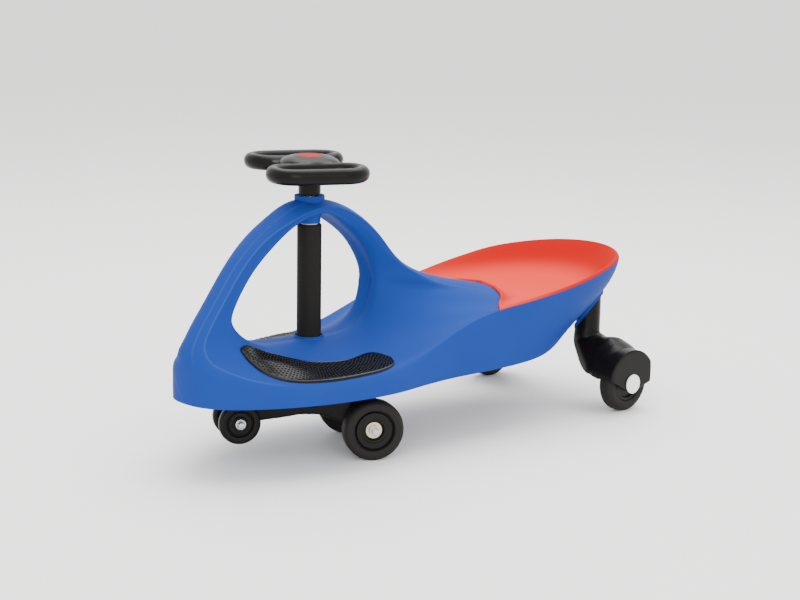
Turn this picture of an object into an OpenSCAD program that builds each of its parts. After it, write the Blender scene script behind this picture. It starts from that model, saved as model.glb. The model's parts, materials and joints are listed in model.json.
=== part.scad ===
// Wiggle car: a ride-on toy that the rider drives by swinging the steering wheel.
// Front is -Y, the rider's left is +X, the ground is z = 0. Millimetres.
// Every module is drawn with the steering axis at x = 0, y = 0, and placed() moves it into the frame.

/* [Body] */
// Wall of the moulded body
wall = 3.2; // [2.6:0.1:4]
// Steps between two ribs of the body loft
rib_steps = 2; // [2:1:3]
// Height of the collar above the arch crown
collar_rise = 4; // [2:0.5:8]
// Outside diameter of the collar on top of the arch
collar_d = 41; // [38:0.5:46]
// Depth of the seat dish below its rim
seat_depth = 34; // [28:1:36]
// Sheet thickness of the seat pan
seat_t = 3; // [2.4:0.1:4]
// Thickness of a foot pad
pad_t = 2.4; // [1.6:0.1:3]

/* [Steering] */
// Steering angle as drawn, seen from above
steer_angle = -26.5; // [-40:0.5:40]
// Steel column diameter
shaft_d = 20; // [18:0.5:22]
// Outside diameter of the column sleeve
sleeve_d = 30; // [28:0.5:34]
// Flange diameter of the column bushes
bush_flange_d = 34; // [32:0.5:36]
// Width across both loops of the steering wheel
wheel_span = 212; // [208:1:220]
// Fore and aft length of one loop of the steering wheel
loop_length = 135; // [128:1:145]
// Side to side width of one loop of the steering wheel
loop_width = 76; // [72:1:80]
// Thickness of the steering wheel rim
rim_d = 19; // [17:0.5:21]
// Height of the rim centre above the ground
rim_z = 381; // [376:1:388]
// How far the loops stand ahead of the column
loop_lead = 5.5; // [0:0.5:10]
// Diameter of the cap on the steering wheel
cap_d = 36; // [30:1:40]

/* [Front truck] */
// Main wheel diameter
main_d = 81; // [76:1:84]
// Main wheel width
main_w = 25; // [22:0.5:28]
// Distance between the middles of the main wheels
main_track = 136; // [128:1:140]
// Distance from the steering axis back to the main axle
main_trail = 71; // [68:1:76]
// Tip wheel diameter
tip_d = 56; // [50:1:58]
// Tip wheel width
tip_w = 14; // [12:0.5:16]
// Distance between the middles of the tip wheels
tip_track = 42; // [40:1:46]
// Distance from the steering axis forward to the tip axle
tip_lead = 98; // [92:1:102]
// Height of the tip axle
tip_z = 46.5; // [44:0.5:50]
// Width of the truck's web
web_w = 20; // [16:0.5:22]

/* [Rear wheels] */
// Rear wheel diameter
rear_d = 84; // [78:1:88]
// Rear wheel width
rear_w = 24; // [20:0.5:26]
// Distance between the middles of the rear wheels
rear_track = 273; // [268:1:278]
// Rear axle behind the steering axis
rear_y = 483; // [478:1:486]
// Post of a rear leg, diameter
post_d = 35; // [32:0.5:37]
// Middle of a post from the car's middle plane
post_x = 66; // [64:0.5:70]
// Diameter of the white cap on a rear axle
axle_cap_d = 28; // [24:1:30]

/* [Axles and fits] */
// Axle diameter
axle_d = 8; // [7:0.5:10]
// Running clearance on the radius of every shaft
run_gap = 0.06; // [0.03:0.01:0.1]
// Side clearance between a wheel and what it runs against
side_gap = 0.5; // [0.3:0.1:1]
// Room around a wheel inside its fork or fender
wheel_room = 2; // [1.5:0.5:4]
// Bearing outside diameter
bearing_d = 22; // [19:1:24]
// Bearing width
bearing_w = 7; // [6:0.5:8]
// Screw diameter
screw_d = 5; // [4:0.5:6]

/* [Hidden] */
$fn = 64;

BLUE = "#3E6DB5";
RED = "#E8432E";
BLACK = "#2A2826";
RUBBER = "#1C1B1B";
STEEL = "#B9BCC0";
ZINC = "#E4E6E4";
WHITE = "#F2F2EC";

// Ribs of the body's left half. A rib starts in the middle of the leg opening's lining, passes the
// lining's edge and the flank, reaches the belt line and ends on the ridge or on the skirt's lower edge.
// Each rib: [lining half width, y, z], [flank x, y, z], [belt x, y, z], [end x, y, z]
dash_ribs = [
    [[22, 108, 215], [50, 200, 203], [38, 310, 185], [0, 318, 186]],
    [[21, 107, 222], [45, 166, 217], [40, 244, 193], [0, 248, 201]],
    [[20, 104, 234], [41, 145, 232], [40, 193, 209], [0, 198, 219]],
    [[19, 96, 250], [37, 122, 246], [39, 151, 229], [0, 156, 239]],
    [[18, 80, 273], [32, 99, 267], [37, 120, 254], [0, 126, 264]],
    [[18, 58, 293], [29, 73, 293], [35, 91, 289], [0, 97, 298]],
    [[20, 30, 307], [27, 36, 314], [33, 46, 322], [0, 49, 330]]];
arch_ribs = [
    [[22, 0, 312], [27, 0, 322], [31, 0, 333], [0, 0, 340]],
    [[19, -38, 306], [23, -40, 315], [27, -43, 325], [0, -45, 332]],
    [[17.5, -74, 286], [19, -80, 291], [21, -88, 298], [0, -92, 301]],
    [[17, -112, 252], [18, -117, 257], [19, -125, 264], [0, -130, 267]],
    [[17, -141, 207], [18, -149, 211], [19, -160, 217], [0, -165, 220]],
    [[19, -141, 191], [20, -158, 192], [20, -179, 191], [0, -185, 193]],
    [[22, -134, 180], [24, -158, 177], [22, -190, 170], [0, -199, 168]]];
nose_ribs = [
    [[25, -124, 171], [32, -152, 165], [32, -188, 153], [0, -205, 136]],
    [[27, -112, 165], [41, -142, 158], [44, -181, 146], [0, -205, 95]],
    [[27, -100, 161], [50, -126, 152], [57, -171, 140], [40, -195, 95]]];
side_ribs = [
    [[26, -86, 157], [58, -106, 148], [75, -153, 132], [72, -161, 95]],
    [[24, -66, 155], [68, -80, 141], [97, -114, 124], [98, -116, 95]],
    [[22, -40, 154], [76, -47, 136], [114, -63, 122], [117, -64, 95]],
    [[22, -8, 153], [80, -8, 135], [125, -8, 124], [128, -8, 95]],
    [[22, 26, 153], [82, 33, 135], [126, 44, 127], [130, 46, 95]],
    [[22, 54, 155], [82, 75, 138], [119, 98, 135], [122, 98, 95]],
    [[22, 76, 161], [80, 110, 145], [114, 150, 152], [117, 152, 95]],
    [[22, 92, 174], [78, 140, 158], [114, 195, 167], [118, 196, 95]],
    [[22, 101, 189], [72, 164, 175], [115, 243, 176], [119, 244, 95]]];
// Ribs that end on the seat's edge: [lining], [flank], [edge of the pommel]
pommel_ribs = [
    [[22, 105, 201], [64, 181, 187], [92, 264, 178]],
    [[22, 107, 209], [57, 194, 197], [70, 292, 182]]];
// Ribs under the seat: [rim], [lower edge]
rim_ribs = [
    [[122, 299, 182], [114, 308, 95]],
    [[128, 355, 190], [100, 360, 97]],
    [[127, 409, 198], [82, 405, 106]],
    [[118, 460, 207], [62, 448, 118]],
    [[98, 509, 212], [44, 484, 130]],
    [[69, 541, 216], [25, 506, 141]],
    [[36, 560, 218], [10, 515, 147]],
    [[0, 566, 219], [0, 517, 148]]];

common_ribs = concat(dash_ribs, arch_ribs, nose_ribs, side_ribs);
common_n = len(common_ribs);
nose_tip = len(dash_ribs) + len(arch_ribs) + 1;
rim_n = len(rim_ribs);
loop_ribs = concat(common_ribs, pommel_ribs);
belt_pts = concat([for (r = common_ribs) r[2]], [for (r = rim_ribs) r[0]]);
ridge_pts = [for (k = [0 : nose_tip]) common_ribs[k][3]];
hem_pts = concat([for (k = [nose_tip : common_n - 1]) common_ribs[k][3]], [for (r = rim_ribs) r[1]]);
pommel_pts = concat([common_ribs[common_n - 1][2]], [for (r = pommel_ribs) r[2]], [common_ribs[0][2]]);

function mirrored(p) = [-p.x, p.y, p.z];
function unit(v) = v / max(norm(v), 1e-6);
// A Catmull-Rom curve from b to c, with a before and d after them
function curve(a, b, c, d, t) =
    0.5 * (2 * b + (c - a) * t + (2 * a - 5 * b + 4 * c - d) * t * t
    + (3 * b - a - 3 * c + d) * t * t * t);
// A curve through a list of points at r, with its ends carried on by the two given points
function along(pts, r, before, after) =
    let (n = len(pts), k = min(floor(r), n - 2), t = r - k)
    curve(k == 0 ? before : pts[k - 1], pts[k], pts[k + 1], k == n - 2 ? after : pts[k + 2], t);
function around(pts, r) =
    let (n = len(pts), k = floor(r), t = r - k)
    curve(pts[(k + n - 1) % n], pts[k % n], pts[(k + 1) % n], pts[(k + 2) % n], t);
function carry_on(end, before) = 2 * end - before;

lining_pts = [for (r = loop_ribs) r[0]];
flank_pts = [for (r = loop_ribs) r[1]];
function lining(r) = around(lining_pts, r);
function flank(r) = around(flank_pts, r);
function belt(r) =
    along(belt_pts, r, carry_on(belt_pts[0], belt_pts[1]), mirrored(belt_pts[len(belt_pts) - 2]));
function pommel_edge(r) =
    along(pommel_pts, r, carry_on(pommel_pts[0], pommel_pts[1]),
    carry_on(pommel_pts[len(pommel_pts) - 1], pommel_pts[len(pommel_pts) - 2]));
function rib_end(r) = r <= nose_tip
    ? along(ridge_pts, r, carry_on(ridge_pts[0], ridge_pts[1]),
        carry_on(ridge_pts[nose_tip], ridge_pts[nose_tip - 1]))
    : along(hem_pts, r - nose_tip, mirrored(hem_pts[1]), mirrored(hem_pts[len(hem_pts) - 2]));

// Steps across a rib: the lining, the flank's two halves and the wall beyond the belt line
lining_steps = 2;
flank_steps = 3;
wall_steps = 3;
deck_cols = lining_steps + 2 * flank_steps + 1;
all_cols = deck_cols + wall_steps;

// The deck part of a rib, from the lining's middle to its outer point
function deck_rib(hole, mid, edge) =
    let (centre = [0, hole.y, hole.z], left = hole)
    concat(
        [for (k = [0 : lining_steps - 1]) curve(mirrored(left), centre, left, mid, k / lining_steps)],
        [for (k = [0 : flank_steps - 1]) curve(centre, left, mid, edge, k / flank_steps)],
        [for (k = [0 : flank_steps]) curve(left, mid, edge, carry_on(edge, mid), k / flank_steps)]);
// The wall part of a rib, from the belt line to its end: crowned on the arch, bulged on the bowl
seat_mid_y = 380;
bulge = 0.06;
stern_bulge = 0.2;
// How far the bowl has filled out at a rib, from 0 beside the seat to 1 round the stern
function stern_share(r) = let (t = min(1, max(0, (r - common_n - 1) / 3.5))) t * t * (3 - 2 * t);
function wall_bend(edge, end, r) =
    let (mid = (edge + end) / 2, out = unit([mid.x, max(0, mid.y - seat_mid_y), 0]))
    r <= nose_tip ? [edge.x / 2, end.y, end.z] 
        : mid + out * (bulge + stern_bulge * stern_share(r)) * norm(edge - end);
function wall_rib(edge, end, r) =
    let (bend = wall_bend(edge, end, r))
    [for (k = [1 : wall_steps]) let (t = k / wall_steps)
        (1 - t) * (1 - t) * edge + 2 * t * (1 - t) * bend + t * t * end];
// Points on the middle plane stay on it
function keep_mid(p) = [max(0, p.x), p.y, p.z];

common_rows = (common_n - 1) * rib_steps;
pommel_rows = (len(pommel_ribs) + 1) * rib_steps - 1;
rim_rows = rim_n * rib_steps;
deck_rows = common_rows + 1 + pommel_rows;
wall_rows = common_rows + 1 + rim_rows;
deck_pts = concat(
    [for (i = [0 : common_rows]) let (r = i / rib_steps) deck_rib(lining(r), flank(r), belt(r))],
    [for (i = [1 : pommel_rows]) let (r = i / rib_steps, s = common_n - 1 + r)
        deck_rib(lining(s), flank(s), pommel_edge(r))]);
wall_pts = [for (i = [0 : common_rows + rim_rows]) let (r = i / rib_steps)
    concat([belt(r)], [for (p = wall_rib(belt(r), rib_end(r), r)) keep_mid(p)])];

// Outward directions of the two sheets, from the neighbours of each point
function facing(du, dv, p) =
    let (n = cross(dv, du)) unit(p.x < 0.001 ? [0, n.y, n.z] : n);
function deck_across(i, j) = deck_pts[i][min(j + 1, deck_cols - 1)] - deck_pts[i][max(j - 1, 0)];
function deck_along(i, j) = deck_pts[(i + 1) % deck_rows][j] - deck_pts[(i + deck_rows - 1) % deck_rows][j];
function deck_face(i, j) = facing(deck_along(i, j), deck_across(i, j), deck_pts[i][j]);
function wall_across(i, j) = wall_pts[i][min(j + 1, wall_steps)] - wall_pts[i][max(j - 1, 0)];
function wall_along(i, j) = wall_pts[min(i + 1, wall_rows - 1)][j] - wall_pts[max(i - 1, 0)][j];
function wall_face(i, j) = facing(wall_along(i, j), wall_across(i, j), wall_pts[i][j]);
function belt_face(i) = unit(deck_face(i, deck_cols - 1) + wall_face(i, 0));
function lifted(p, n, d) = [p.x < 0.001 ? 0 : max(0, p.x + n.x * d), p.y + n.y * d, p.z + n.z * d];
// The bowl's rim falls a little to its inside, so that the seat's lip rests on its outer edge
rim_fall = 0.4;
function rim_face(n) = unit([n.x, n.y, 0]) + [0, 0, rim_fall];
// Both sheets as one list of points, moved outward by d
function skin(d) = concat(
    [for (i = [0 : deck_rows - 1]) for (j = [0 : deck_cols - 1])
        let (on_belt = j == deck_cols - 1 && i <= common_rows)
        lifted(deck_pts[i][j], on_belt ? belt_face(i) : deck_face(i, j), d)],
    [for (i = [0 : wall_rows - 1]) for (j = [(i <= common_rows ? 1 : 0) : wall_steps])
        let (n = wall_face(i, j), on_rim = j == 0 && i > common_rows)
        lifted(wall_pts[i][j], on_rim ? rim_face(n) : n, d)]);
function deck_id(i, j) = (i % deck_rows) * deck_cols + j;
function wall_id(i, j) = i <= common_rows
    ? (j == 0 ? deck_id(i, deck_cols - 1) : deck_rows * deck_cols + i * wall_steps + j - 1)
    : deck_rows * deck_cols + (common_rows + 1) * wall_steps
        + (i - common_rows - 1) * (wall_steps + 1) + j;
skin_n = deck_rows * deck_cols + (common_rows + 1) * wall_steps + rim_rows * (wall_steps + 1);
// Two triangles for a quad, on the outer skin and turned over on the inner one
function quad(a, b, c, d) = [[a, b, c], [a, c, d]];
function both(a, b, c, d) =
    concat(quad(a, b, c, d), quad(d + skin_n, c + skin_n, b + skin_n, a + skin_n));
// A strip that closes the wall between the skins along the edge from a to b
function closed(a, b) = quad(a, b, b + skin_n, a + skin_n);
function joined(lists) = [for (l = lists) each l];
shell_faces = concat(
    joined([for (i = [0 : deck_rows - 1]) for (j = [0 : deck_cols - 2])
        both(deck_id(i, j), deck_id(i + 1, j), deck_id(i + 1, j + 1), deck_id(i, j + 1))]),
    joined([for (i = [0 : wall_rows - 2]) for (j = [0 : wall_steps - 1])
        both(wall_id(i, j), wall_id(i + 1, j), wall_id(i + 1, j + 1), wall_id(i, j + 1))]),
    joined([for (i = [0 : deck_rows - 1]) closed(deck_id(i + 1, 0), deck_id(i, 0))]),
    joined([for (i = [0 : wall_rows - 2]) closed(wall_id(i, wall_steps), wall_id(i + 1, wall_steps))]),
    joined([for (j = [0 : wall_steps - 1]) closed(wall_id(0, j), wall_id(0, j + 1))]),
    joined([for (i = [common_rows : deck_rows - 1])
        closed(deck_id(i, deck_cols - 1), deck_id(i + 1, deck_cols - 1))]),
    joined([for (i = [common_rows : wall_rows - 2]) closed(wall_id(i + 1, 0), wall_id(i, 0))]),
    joined([for (j = [0 : wall_steps - 1]) closed(wall_id(wall_rows - 1, j + 1), wall_id(wall_rows - 1, j))]));

// Places worked out from the ribs
crown_z = arch_ribs[0][3].z;
arch_under_z = arch_ribs[0][0].z;
deck_z = side_ribs[3][0].z;
hem_z = side_ribs[3][3].z;
front_y = nose_ribs[1][3].y;
tail_y = rim_ribs[rim_n - 1][0].y;
middle_y = (front_y + tail_y) / 2;
collar_top = crown_z + collar_rise;
boss_under_z = arch_under_z - 2.5;
bush_wall = 3;
bush_d = shaft_d + 2 * run_gap + 2 * bush_wall;
flange_t = 2;
boss_d = bush_flange_d + 12;
recess = 5;
boss_rise = 4;
deck_boss_top = deck_z + boss_rise;
deck_boss_low = hem_z - 1;

// Column heights
washer_t = 3;
sleeve_top = boss_under_z - flange_t - side_gap - washer_t;
sleeve_low = deck_boss_top - recess + flange_t + side_gap;
frame_top = deck_boss_low - flange_t - side_gap;
cap_top = rim_z + 19;

// Axle heights and wheel places
main_r = main_d / 2;
rear_r = rear_d / 2;
tip_r = tip_d / 2;
main_x = main_track / 2;
tip_x = tip_track / 2;
rear_x = rear_track / 2;

// The part's frame: the middle of its length over the ground
module placed() translate([0, -middle_y, 0]) children();
// Everything that turns with the steering wheel
module steered() rotate([0, 0, steer_angle]) children();
// A cylinder along X with its middle at x = 0
module cross_rod(d, w) rotate([0, 90, 0]) cylinder(d = d, h = w, center = true);
module ring(od, id, h) difference() {
    cylinder(d = od, h = h);
    translate([0, 0, -1]) cylinder(d = id, h = h + 2);
}
module cross_ring(od, id, w) difference() {
    cross_rod(od, w);
    cross_rod(id, w + 2);
}
module hex_prism(across, h) cylinder(d = across / cos(30), h = h, $fn = 6);

// The moulded half shell between its outer and inner skins
module half_shell() polyhedron(points = concat(skin(0), skin(-wall)), faces = shell_faces, convexity = 8);
// The height and half width of the bowl's inner face at a rib under the seat
function bowl_x(k, z) =
    let (e = rim_ribs[k][0], h = rim_ribs[k][1]) h.x + (e.x - h.x) * (z - h.z) / (e.z - h.z) - wall / 2;

// Seat screw places: [rib under the seat, x]
seat_bolt_x = 52;
seat_beams = [1, 2];
beam_z = 112;
beam_t = 4;
beam_w = 34;
// A gusset from the deck boss out to the deck
module gusset(a) rotate([0, 0, a]) hull() {
    translate([boss_d / 2 - 2, -1.4, hem_z + 4]) cube([1, 2.8, deck_z - hem_z - 8]);
    translate([boss_d / 2 + 26, -1.4, deck_z - 16]) cube([1, 2.8, 9]);
}
gusset_angles = [0, 45, 90, 135, 180, 225, 270, 315];
// Slanted socket on the stern that takes the post of a rear leg
socket_wall = 4;
socket_low = 140;
socket_top = 171.5;
module sockets() for (s = [-1, 1]) translate([s * post_x, rear_y, 0]) difference() {
    translate([0, 0, socket_low]) cylinder(d = post_d + 2 * socket_wall, h = socket_top - socket_low);
    translate([0, -(post_d + 20) / 2, socket_low]) rotate([-24, 0, 0])
        translate([-40, -40, -60]) cube([80, 120, 60]);
}

module body_shell() color(BLUE) difference() {
    union() {
        half_shell();
        mirror([1, 0, 0]) half_shell();
        translate([0, 0, boss_under_z]) cylinder(d = collar_d, h = collar_top - boss_under_z);
        translate([0, 0, deck_boss_low]) cylinder(d = boss_d, h = deck_boss_top - deck_boss_low);
        for (a = gusset_angles) gusset(a);
        for (k = seat_beams) translate([-bowl_x(k, beam_z), rim_ribs[k][0].y - beam_w / 2, beam_z])
            cube([2 * bowl_x(k, beam_z), beam_w, beam_t]);
        sockets();
    }
    translate([0, 0, deck_boss_low - 1]) cylinder(d = bush_d + 0.02, h = collar_top - deck_boss_low + 2);
    translate([0, 0, deck_boss_top - recess]) cylinder(d = bush_flange_d + 2, h = recess + 10);
    for (k = seat_beams) for (s = [-1, 1]) translate([s * seat_bolt_x, rim_ribs[k][0].y, beam_z - 1])
        cylinder(d = screw_d + 0.4, h = beam_t + 2, $fn = 24);
    for (s = [-1, 1]) translate([s * post_x, rear_y, socket_low - 40])
        cylinder(d = post_d + 0.1, h = socket_top - socket_low + 34);
    for (s = [-1, 1]) translate([s * post_x, rear_y, socket_top - 10])
        cylinder(d = screw_d + 3.4, h = 20, $fn = 24);
}

// The seat's loops, from its edge to the middle of the dish
seat_fit = 0.5;
// Gap between the seat's lip and the bowl's rim
seat_gap = 0.1;
seat_lip = 0.955;
seat_flat = 0.335;
seat_us = [1, seat_lip, 0.86, 0.74, 0.6, 0.46, seat_flat, 0.17];
seat_loops = len(seat_us);
seat_centre = [0, 432];
function rim_height(y) = rim_ribs[1][0].z
    + (y - rim_ribs[1][0].y) * (rim_ribs[rim_n - 1][0].z - rim_ribs[1][0].z)
    / (rim_ribs[rim_n - 1][0].y - rim_ribs[1][0].y);
seat_half = concat(
    [for (j = [wall_steps - 1 : -1 : 1]) wall_pts[0][j] + [0, seat_fit, 0]],
    [for (i = [pommel_rows + 1 : -1 : 1]) pommel_edge(i / rib_steps) + [0, seat_fit, 0]],
    [for (i = [0 : rim_rows]) belt(common_n - 1 + i / rib_steps)]);
front_mid = rib_end(0) + [0, seat_fit, 0];
seat_edge = concat([front_mid], seat_half,
    [for (i = [len(seat_half) - 2 : -1 : 0]) mirrored(seat_half[i])]);
seat_edge_n = len(seat_edge);
// The dish is level in its middle third and rises from there to the lip
seat_floor_z = rim_height(seat_centre.y) - seat_depth;
function dish(u) = pow(max(0, min(1, (u - seat_flat) / (seat_lip - seat_flat))), 1.5);
function seat_point(e, u, up) =
    [e.x * u, seat_centre.y + (e.y - seat_centre.y) * u,
        seat_floor_z + (e.z - seat_floor_z) * dish(u) + up];
seat_pts = concat(
    [for (up = [seat_t + seat_gap, seat_gap]) for (u = seat_us) for (e = seat_edge)
        seat_point(e, u, up)],
    [seat_point(seat_edge[0], 0, seat_t + seat_gap), seat_point(seat_edge[0], 0, seat_gap)]);
seat_low = seat_loops * seat_edge_n;
seat_mid = 2 * seat_low;
function seat_id(k, i) = k * seat_edge_n + i % seat_edge_n;
seat_faces = concat(
    joined([for (k = [0 : seat_loops - 2]) for (i = [0 : seat_edge_n - 1]) concat(
        quad(seat_id(k, i + 1), seat_id(k, i), seat_id(k + 1, i), seat_id(k + 1, i + 1)),
        quad(seat_low + seat_id(k, i), seat_low + seat_id(k, i + 1),
            seat_low + seat_id(k + 1, i + 1), seat_low + seat_id(k + 1, i)))]),
    [for (i = [0 : seat_edge_n - 1]) [seat_id(seat_loops - 1, i + 1), seat_id(seat_loops - 1, i), seat_mid]],
    [for (i = [0 : seat_edge_n - 1])
        [seat_low + seat_id(seat_loops - 1, i), seat_low + seat_id(seat_loops - 1, i + 1), seat_mid + 1]],
    joined([for (i = [0 : seat_edge_n - 1])
        quad(seat_id(0, i), seat_id(0, i + 1), seat_low + seat_id(0, i + 1), seat_low + seat_id(0, i))]));
screw_bite = 14;
seat_boss_top = seat_floor_z + 3;
module seat_pan() color(RED) difference() {
    union() {
        polyhedron(points = seat_pts, faces = seat_faces, convexity = 4);
        for (k = seat_beams) for (s = [-1, 1])
            translate([s * seat_bolt_x, rim_ribs[k][0].y, beam_z + beam_t])
                cylinder(d = screw_d + 9, h = seat_boss_top - beam_z - beam_t);
    }
    for (k = seat_beams) for (s = [-1, 1])
        translate([s * seat_bolt_x, rim_ribs[k][0].y, beam_z + beam_t - 1])
            cylinder(d = screw_d, h = screw_bite + 1);
}
module seat_screws() color(STEEL) for (k = seat_beams) for (s = [-1, 1])
    translate([s * seat_bolt_x, rim_ribs[k][0].y, beam_z - 3]) {
        cylinder(d = screw_d * 2, h = 3);
        cylinder(d = screw_d, h = 3 + beam_t + screw_bite - 1);
    }

// Outline of a foot pad on the deck: [rib, inner edge, outer edge], where 1 is the lining's edge,
// 2 the flank line and 3 the belt line
pad_start = nose_tip;
pad_bounds = [[-0.8, 1.62, 1.72], [-0.4, 1.45, 1.86], [0, 1.42, 2.02], [0.6, 1.43, 2.24], [1.4, 1.55, 2.47],
    [2.1, 1.64, 2.66], [3, 1.75, 2.86], [4, 1.86, 2.92], [5, 1.93, 2.92], [5.6, 1.88, 2.91], [6.1, 1.82, 2.8],
    [6.4, 1.86, 2.5], [6.55, 2.05, 2.25]];
pad_cols = 5;
pad_rows = 2 * (len(pad_bounds) - 1);
function deck_point(r, c) =
    let (hole = lining(r), mid = flank(r), edge = belt(r), centre = [0, hole.y, hole.z])
    c < 2 ? curve(centre, hole, mid, edge, c - 1)
        : curve(hole, mid, edge, carry_on(edge, mid), c - 2);
function deck_up(r, c) =
    unit(cross(deck_point(r, c + 0.02) - deck_point(r, c - 0.02),
        deck_point(r + 0.02, c) - deck_point(r - 0.02, c)));
function pad_bound(i) = let (t = i / 2)
    along(pad_bounds, t, carry_on(pad_bounds[0], pad_bounds[1]),
        carry_on(pad_bounds[len(pad_bounds) - 1], pad_bounds[len(pad_bounds) - 2]));
function pad_layer(up) = [for (i = [0 : pad_rows]) for (j = [0 : pad_cols])
    let (b = pad_bound(i), r = pad_start + b[0], c = b[1] + (b[2] - b[1]) * j / pad_cols)
    deck_point(r, c) + up * deck_up(r, c)];
pad_n = (pad_rows + 1) * (pad_cols + 1);
function pad_id(i, j) = i * (pad_cols + 1) + j;
function pad_side(a, b) = quad(a, b, b + pad_n, a + pad_n);
pad_faces = concat(
    joined([for (i = [0 : pad_rows - 1]) for (j = [0 : pad_cols - 1]) concat(
        quad(pad_id(i, j), pad_id(i + 1, j), pad_id(i + 1, j + 1), pad_id(i, j + 1)),
        quad(pad_n + pad_id(i, j + 1), pad_n + pad_id(i + 1, j + 1),
            pad_n + pad_id(i + 1, j), pad_n + pad_id(i, j)))]),
    joined([for (i = [0 : pad_rows - 1]) concat(
        pad_side(pad_id(i + 1, 0), pad_id(i, 0)),
        pad_side(pad_id(i, pad_cols), pad_id(i + 1, pad_cols)))]),
    joined([for (j = [0 : pad_cols - 1]) concat(
        pad_side(pad_id(0, j), pad_id(0, j + 1)),
        pad_side(pad_id(pad_rows, j + 1), pad_id(pad_rows, j)))]));
pad_seat = 0.3;
module foot_pad() color(RUBBER)
    polyhedron(points = concat(pad_layer(pad_seat + pad_t), pad_layer(pad_seat)), faces = pad_faces, convexity = 4);

// Flanged bushes that carry the steering column
module flanged_bush(len) {
    ring(bush_d, shaft_d + 2 * run_gap, len);
    translate([0, 0, len]) ring(bush_flange_d, shaft_d + 2 * run_gap, flange_t);
}
module upper_bush() color(WHITE) {
    translate([0, 0, collar_top - 16]) flanged_bush(16);
    translate([0, 0, boss_under_z + 14]) mirror([0, 0, 1]) flanged_bush(14);
}
module lower_bush() color(WHITE) {
    translate([0, 0, deck_boss_top - recess - 18]) flanged_bush(18);
    translate([0, 0, deck_boss_low + 18]) mirror([0, 0, 1]) flanged_bush(18);
}

// The turning column
shaft_low = frame_top - 30;
shaft_top = rim_z + 2;
shaft_wall = 3;
module steering_shaft() color(STEEL) difference() {
    translate([0, 0, shaft_low]) cylinder(d = shaft_d, h = shaft_top - shaft_low);
    translate([0, 0, shaft_low - 1]) cylinder(d = shaft_d - 2 * shaft_wall, h = shaft_top - shaft_low - 11);
    translate([0, 0, shaft_top - 30]) cylinder(d = axle_d, h = 31);
    rotate([0, 0, steer_angle]) translate([0, 0, bolt_z]) cross_rod(axle_d, shaft_d + 2);
}
module column_sleeve() color(BLACK)
    translate([0, 0, sleeve_low]) ring(sleeve_d, shaft_d + 2 * run_gap, sleeve_top - sleeve_low);
module column_washer() color(WHITE)
    translate([0, 0, sleeve_top]) ring(sleeve_d + 1, shaft_d + 2 * run_gap, washer_t);

// Steering wheel: two oval loops with a raised hub between them
loop_r = (loop_width - rim_d) / 2;
loop_straight = loop_length - rim_d - 2 * loop_r;
loop_x = (wheel_span - loop_width) / 2;
hub_neck_d = 27;
neck_low = collar_top + flange_t + side_gap;
module loop_bend() rotate_extrude(angle = 180) translate([loop_r, 0]) circle(d = rim_d, $fn = 32);
module rim_loop() {
    translate([0, loop_straight / 2, 0]) loop_bend();
    translate([0, -loop_straight / 2, 0]) rotate([0, 0, 180]) loop_bend();
    for (s = [-1, 1]) translate([s * loop_r, 0, 0]) rotate([90, 0, 0])
        linear_extrude(height = loop_straight, center = true) circle(d = rim_d, $fn = 32);
}
hub_r = loop_x - loop_r;
// Plan of the saddle that joins the loops, and section of the raised hub on it
saddle_end = loop_straight / 2 + 14;
saddle_mid = cap_d / 2 + 5;
saddle_plan = [[hub_r, -saddle_end], [hub_r, saddle_end], [0, saddle_mid], [-hub_r, saddle_end],
    [-hub_r, -saddle_end], [0, -saddle_mid]];
hub_section = [[0, -9], [cap_d / 2 + 12, -7], [cap_d / 2 + 12, 5], [cap_d / 2 + 6, 9.5], [cap_d / 2 + 2.5, 13.5],
    [cap_d / 2 + 1, 17], [0, 17]];
module steering_wheel() color(BLACK) steered() difference() {
    union() {
        translate([0, -loop_lead, rim_z]) {
            for (s = [-1, 1]) translate([s * loop_x, 0, 0]) rim_loop();
            translate([0, 0, -6]) linear_extrude(height = 10) polygon(saddle_plan);
        }
        translate([0, 0, rim_z]) rotate_extrude() polygon(hub_section);
        translate([0, 0, neck_low]) cylinder(d = hub_neck_d, h = rim_z - neck_low);
    }
    translate([0, 0, neck_low - 1]) cylinder(d = shaft_d, h = shaft_top - neck_low + 1);
    translate([0, 0, shaft_top - 1]) cylinder(d = axle_d + 0.4, h = 30);
    translate([0, 0, rim_z + 6]) cylinder(d = cap_d, h = 20);
}
cap_low = rim_z + 14.5;
module steering_cap() color(RED) intersection() {
    translate([0, 0, cap_low]) cylinder(d = cap_d - 0.4, h = cap_top - cap_low);
    translate([0, 0, cap_top - 60]) sphere(r = 60, $fn = 96);
}
module steering_bolt() color(STEEL) {
    translate([0, 0, rim_z + 6]) hex_prism(13, 5.5);
    translate([0, 0, shaft_top - 28]) cylinder(d = axle_d - 0.2, h = rim_z + 6 - shaft_top + 29);
}

// Front truck: web, pivot boss and the two axle barrels
bolt_z = frame_top - 15;
boss_od = shaft_d + 20;
main_barrel_d = 30;
tip_barrel_d = 22;
main_barrel_w = main_track - main_w - 2 * side_gap - 2 * washer_t;
tip_barrel_w = tip_track - tip_w - 2 * side_gap;
web_arch_z = 53;
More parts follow.
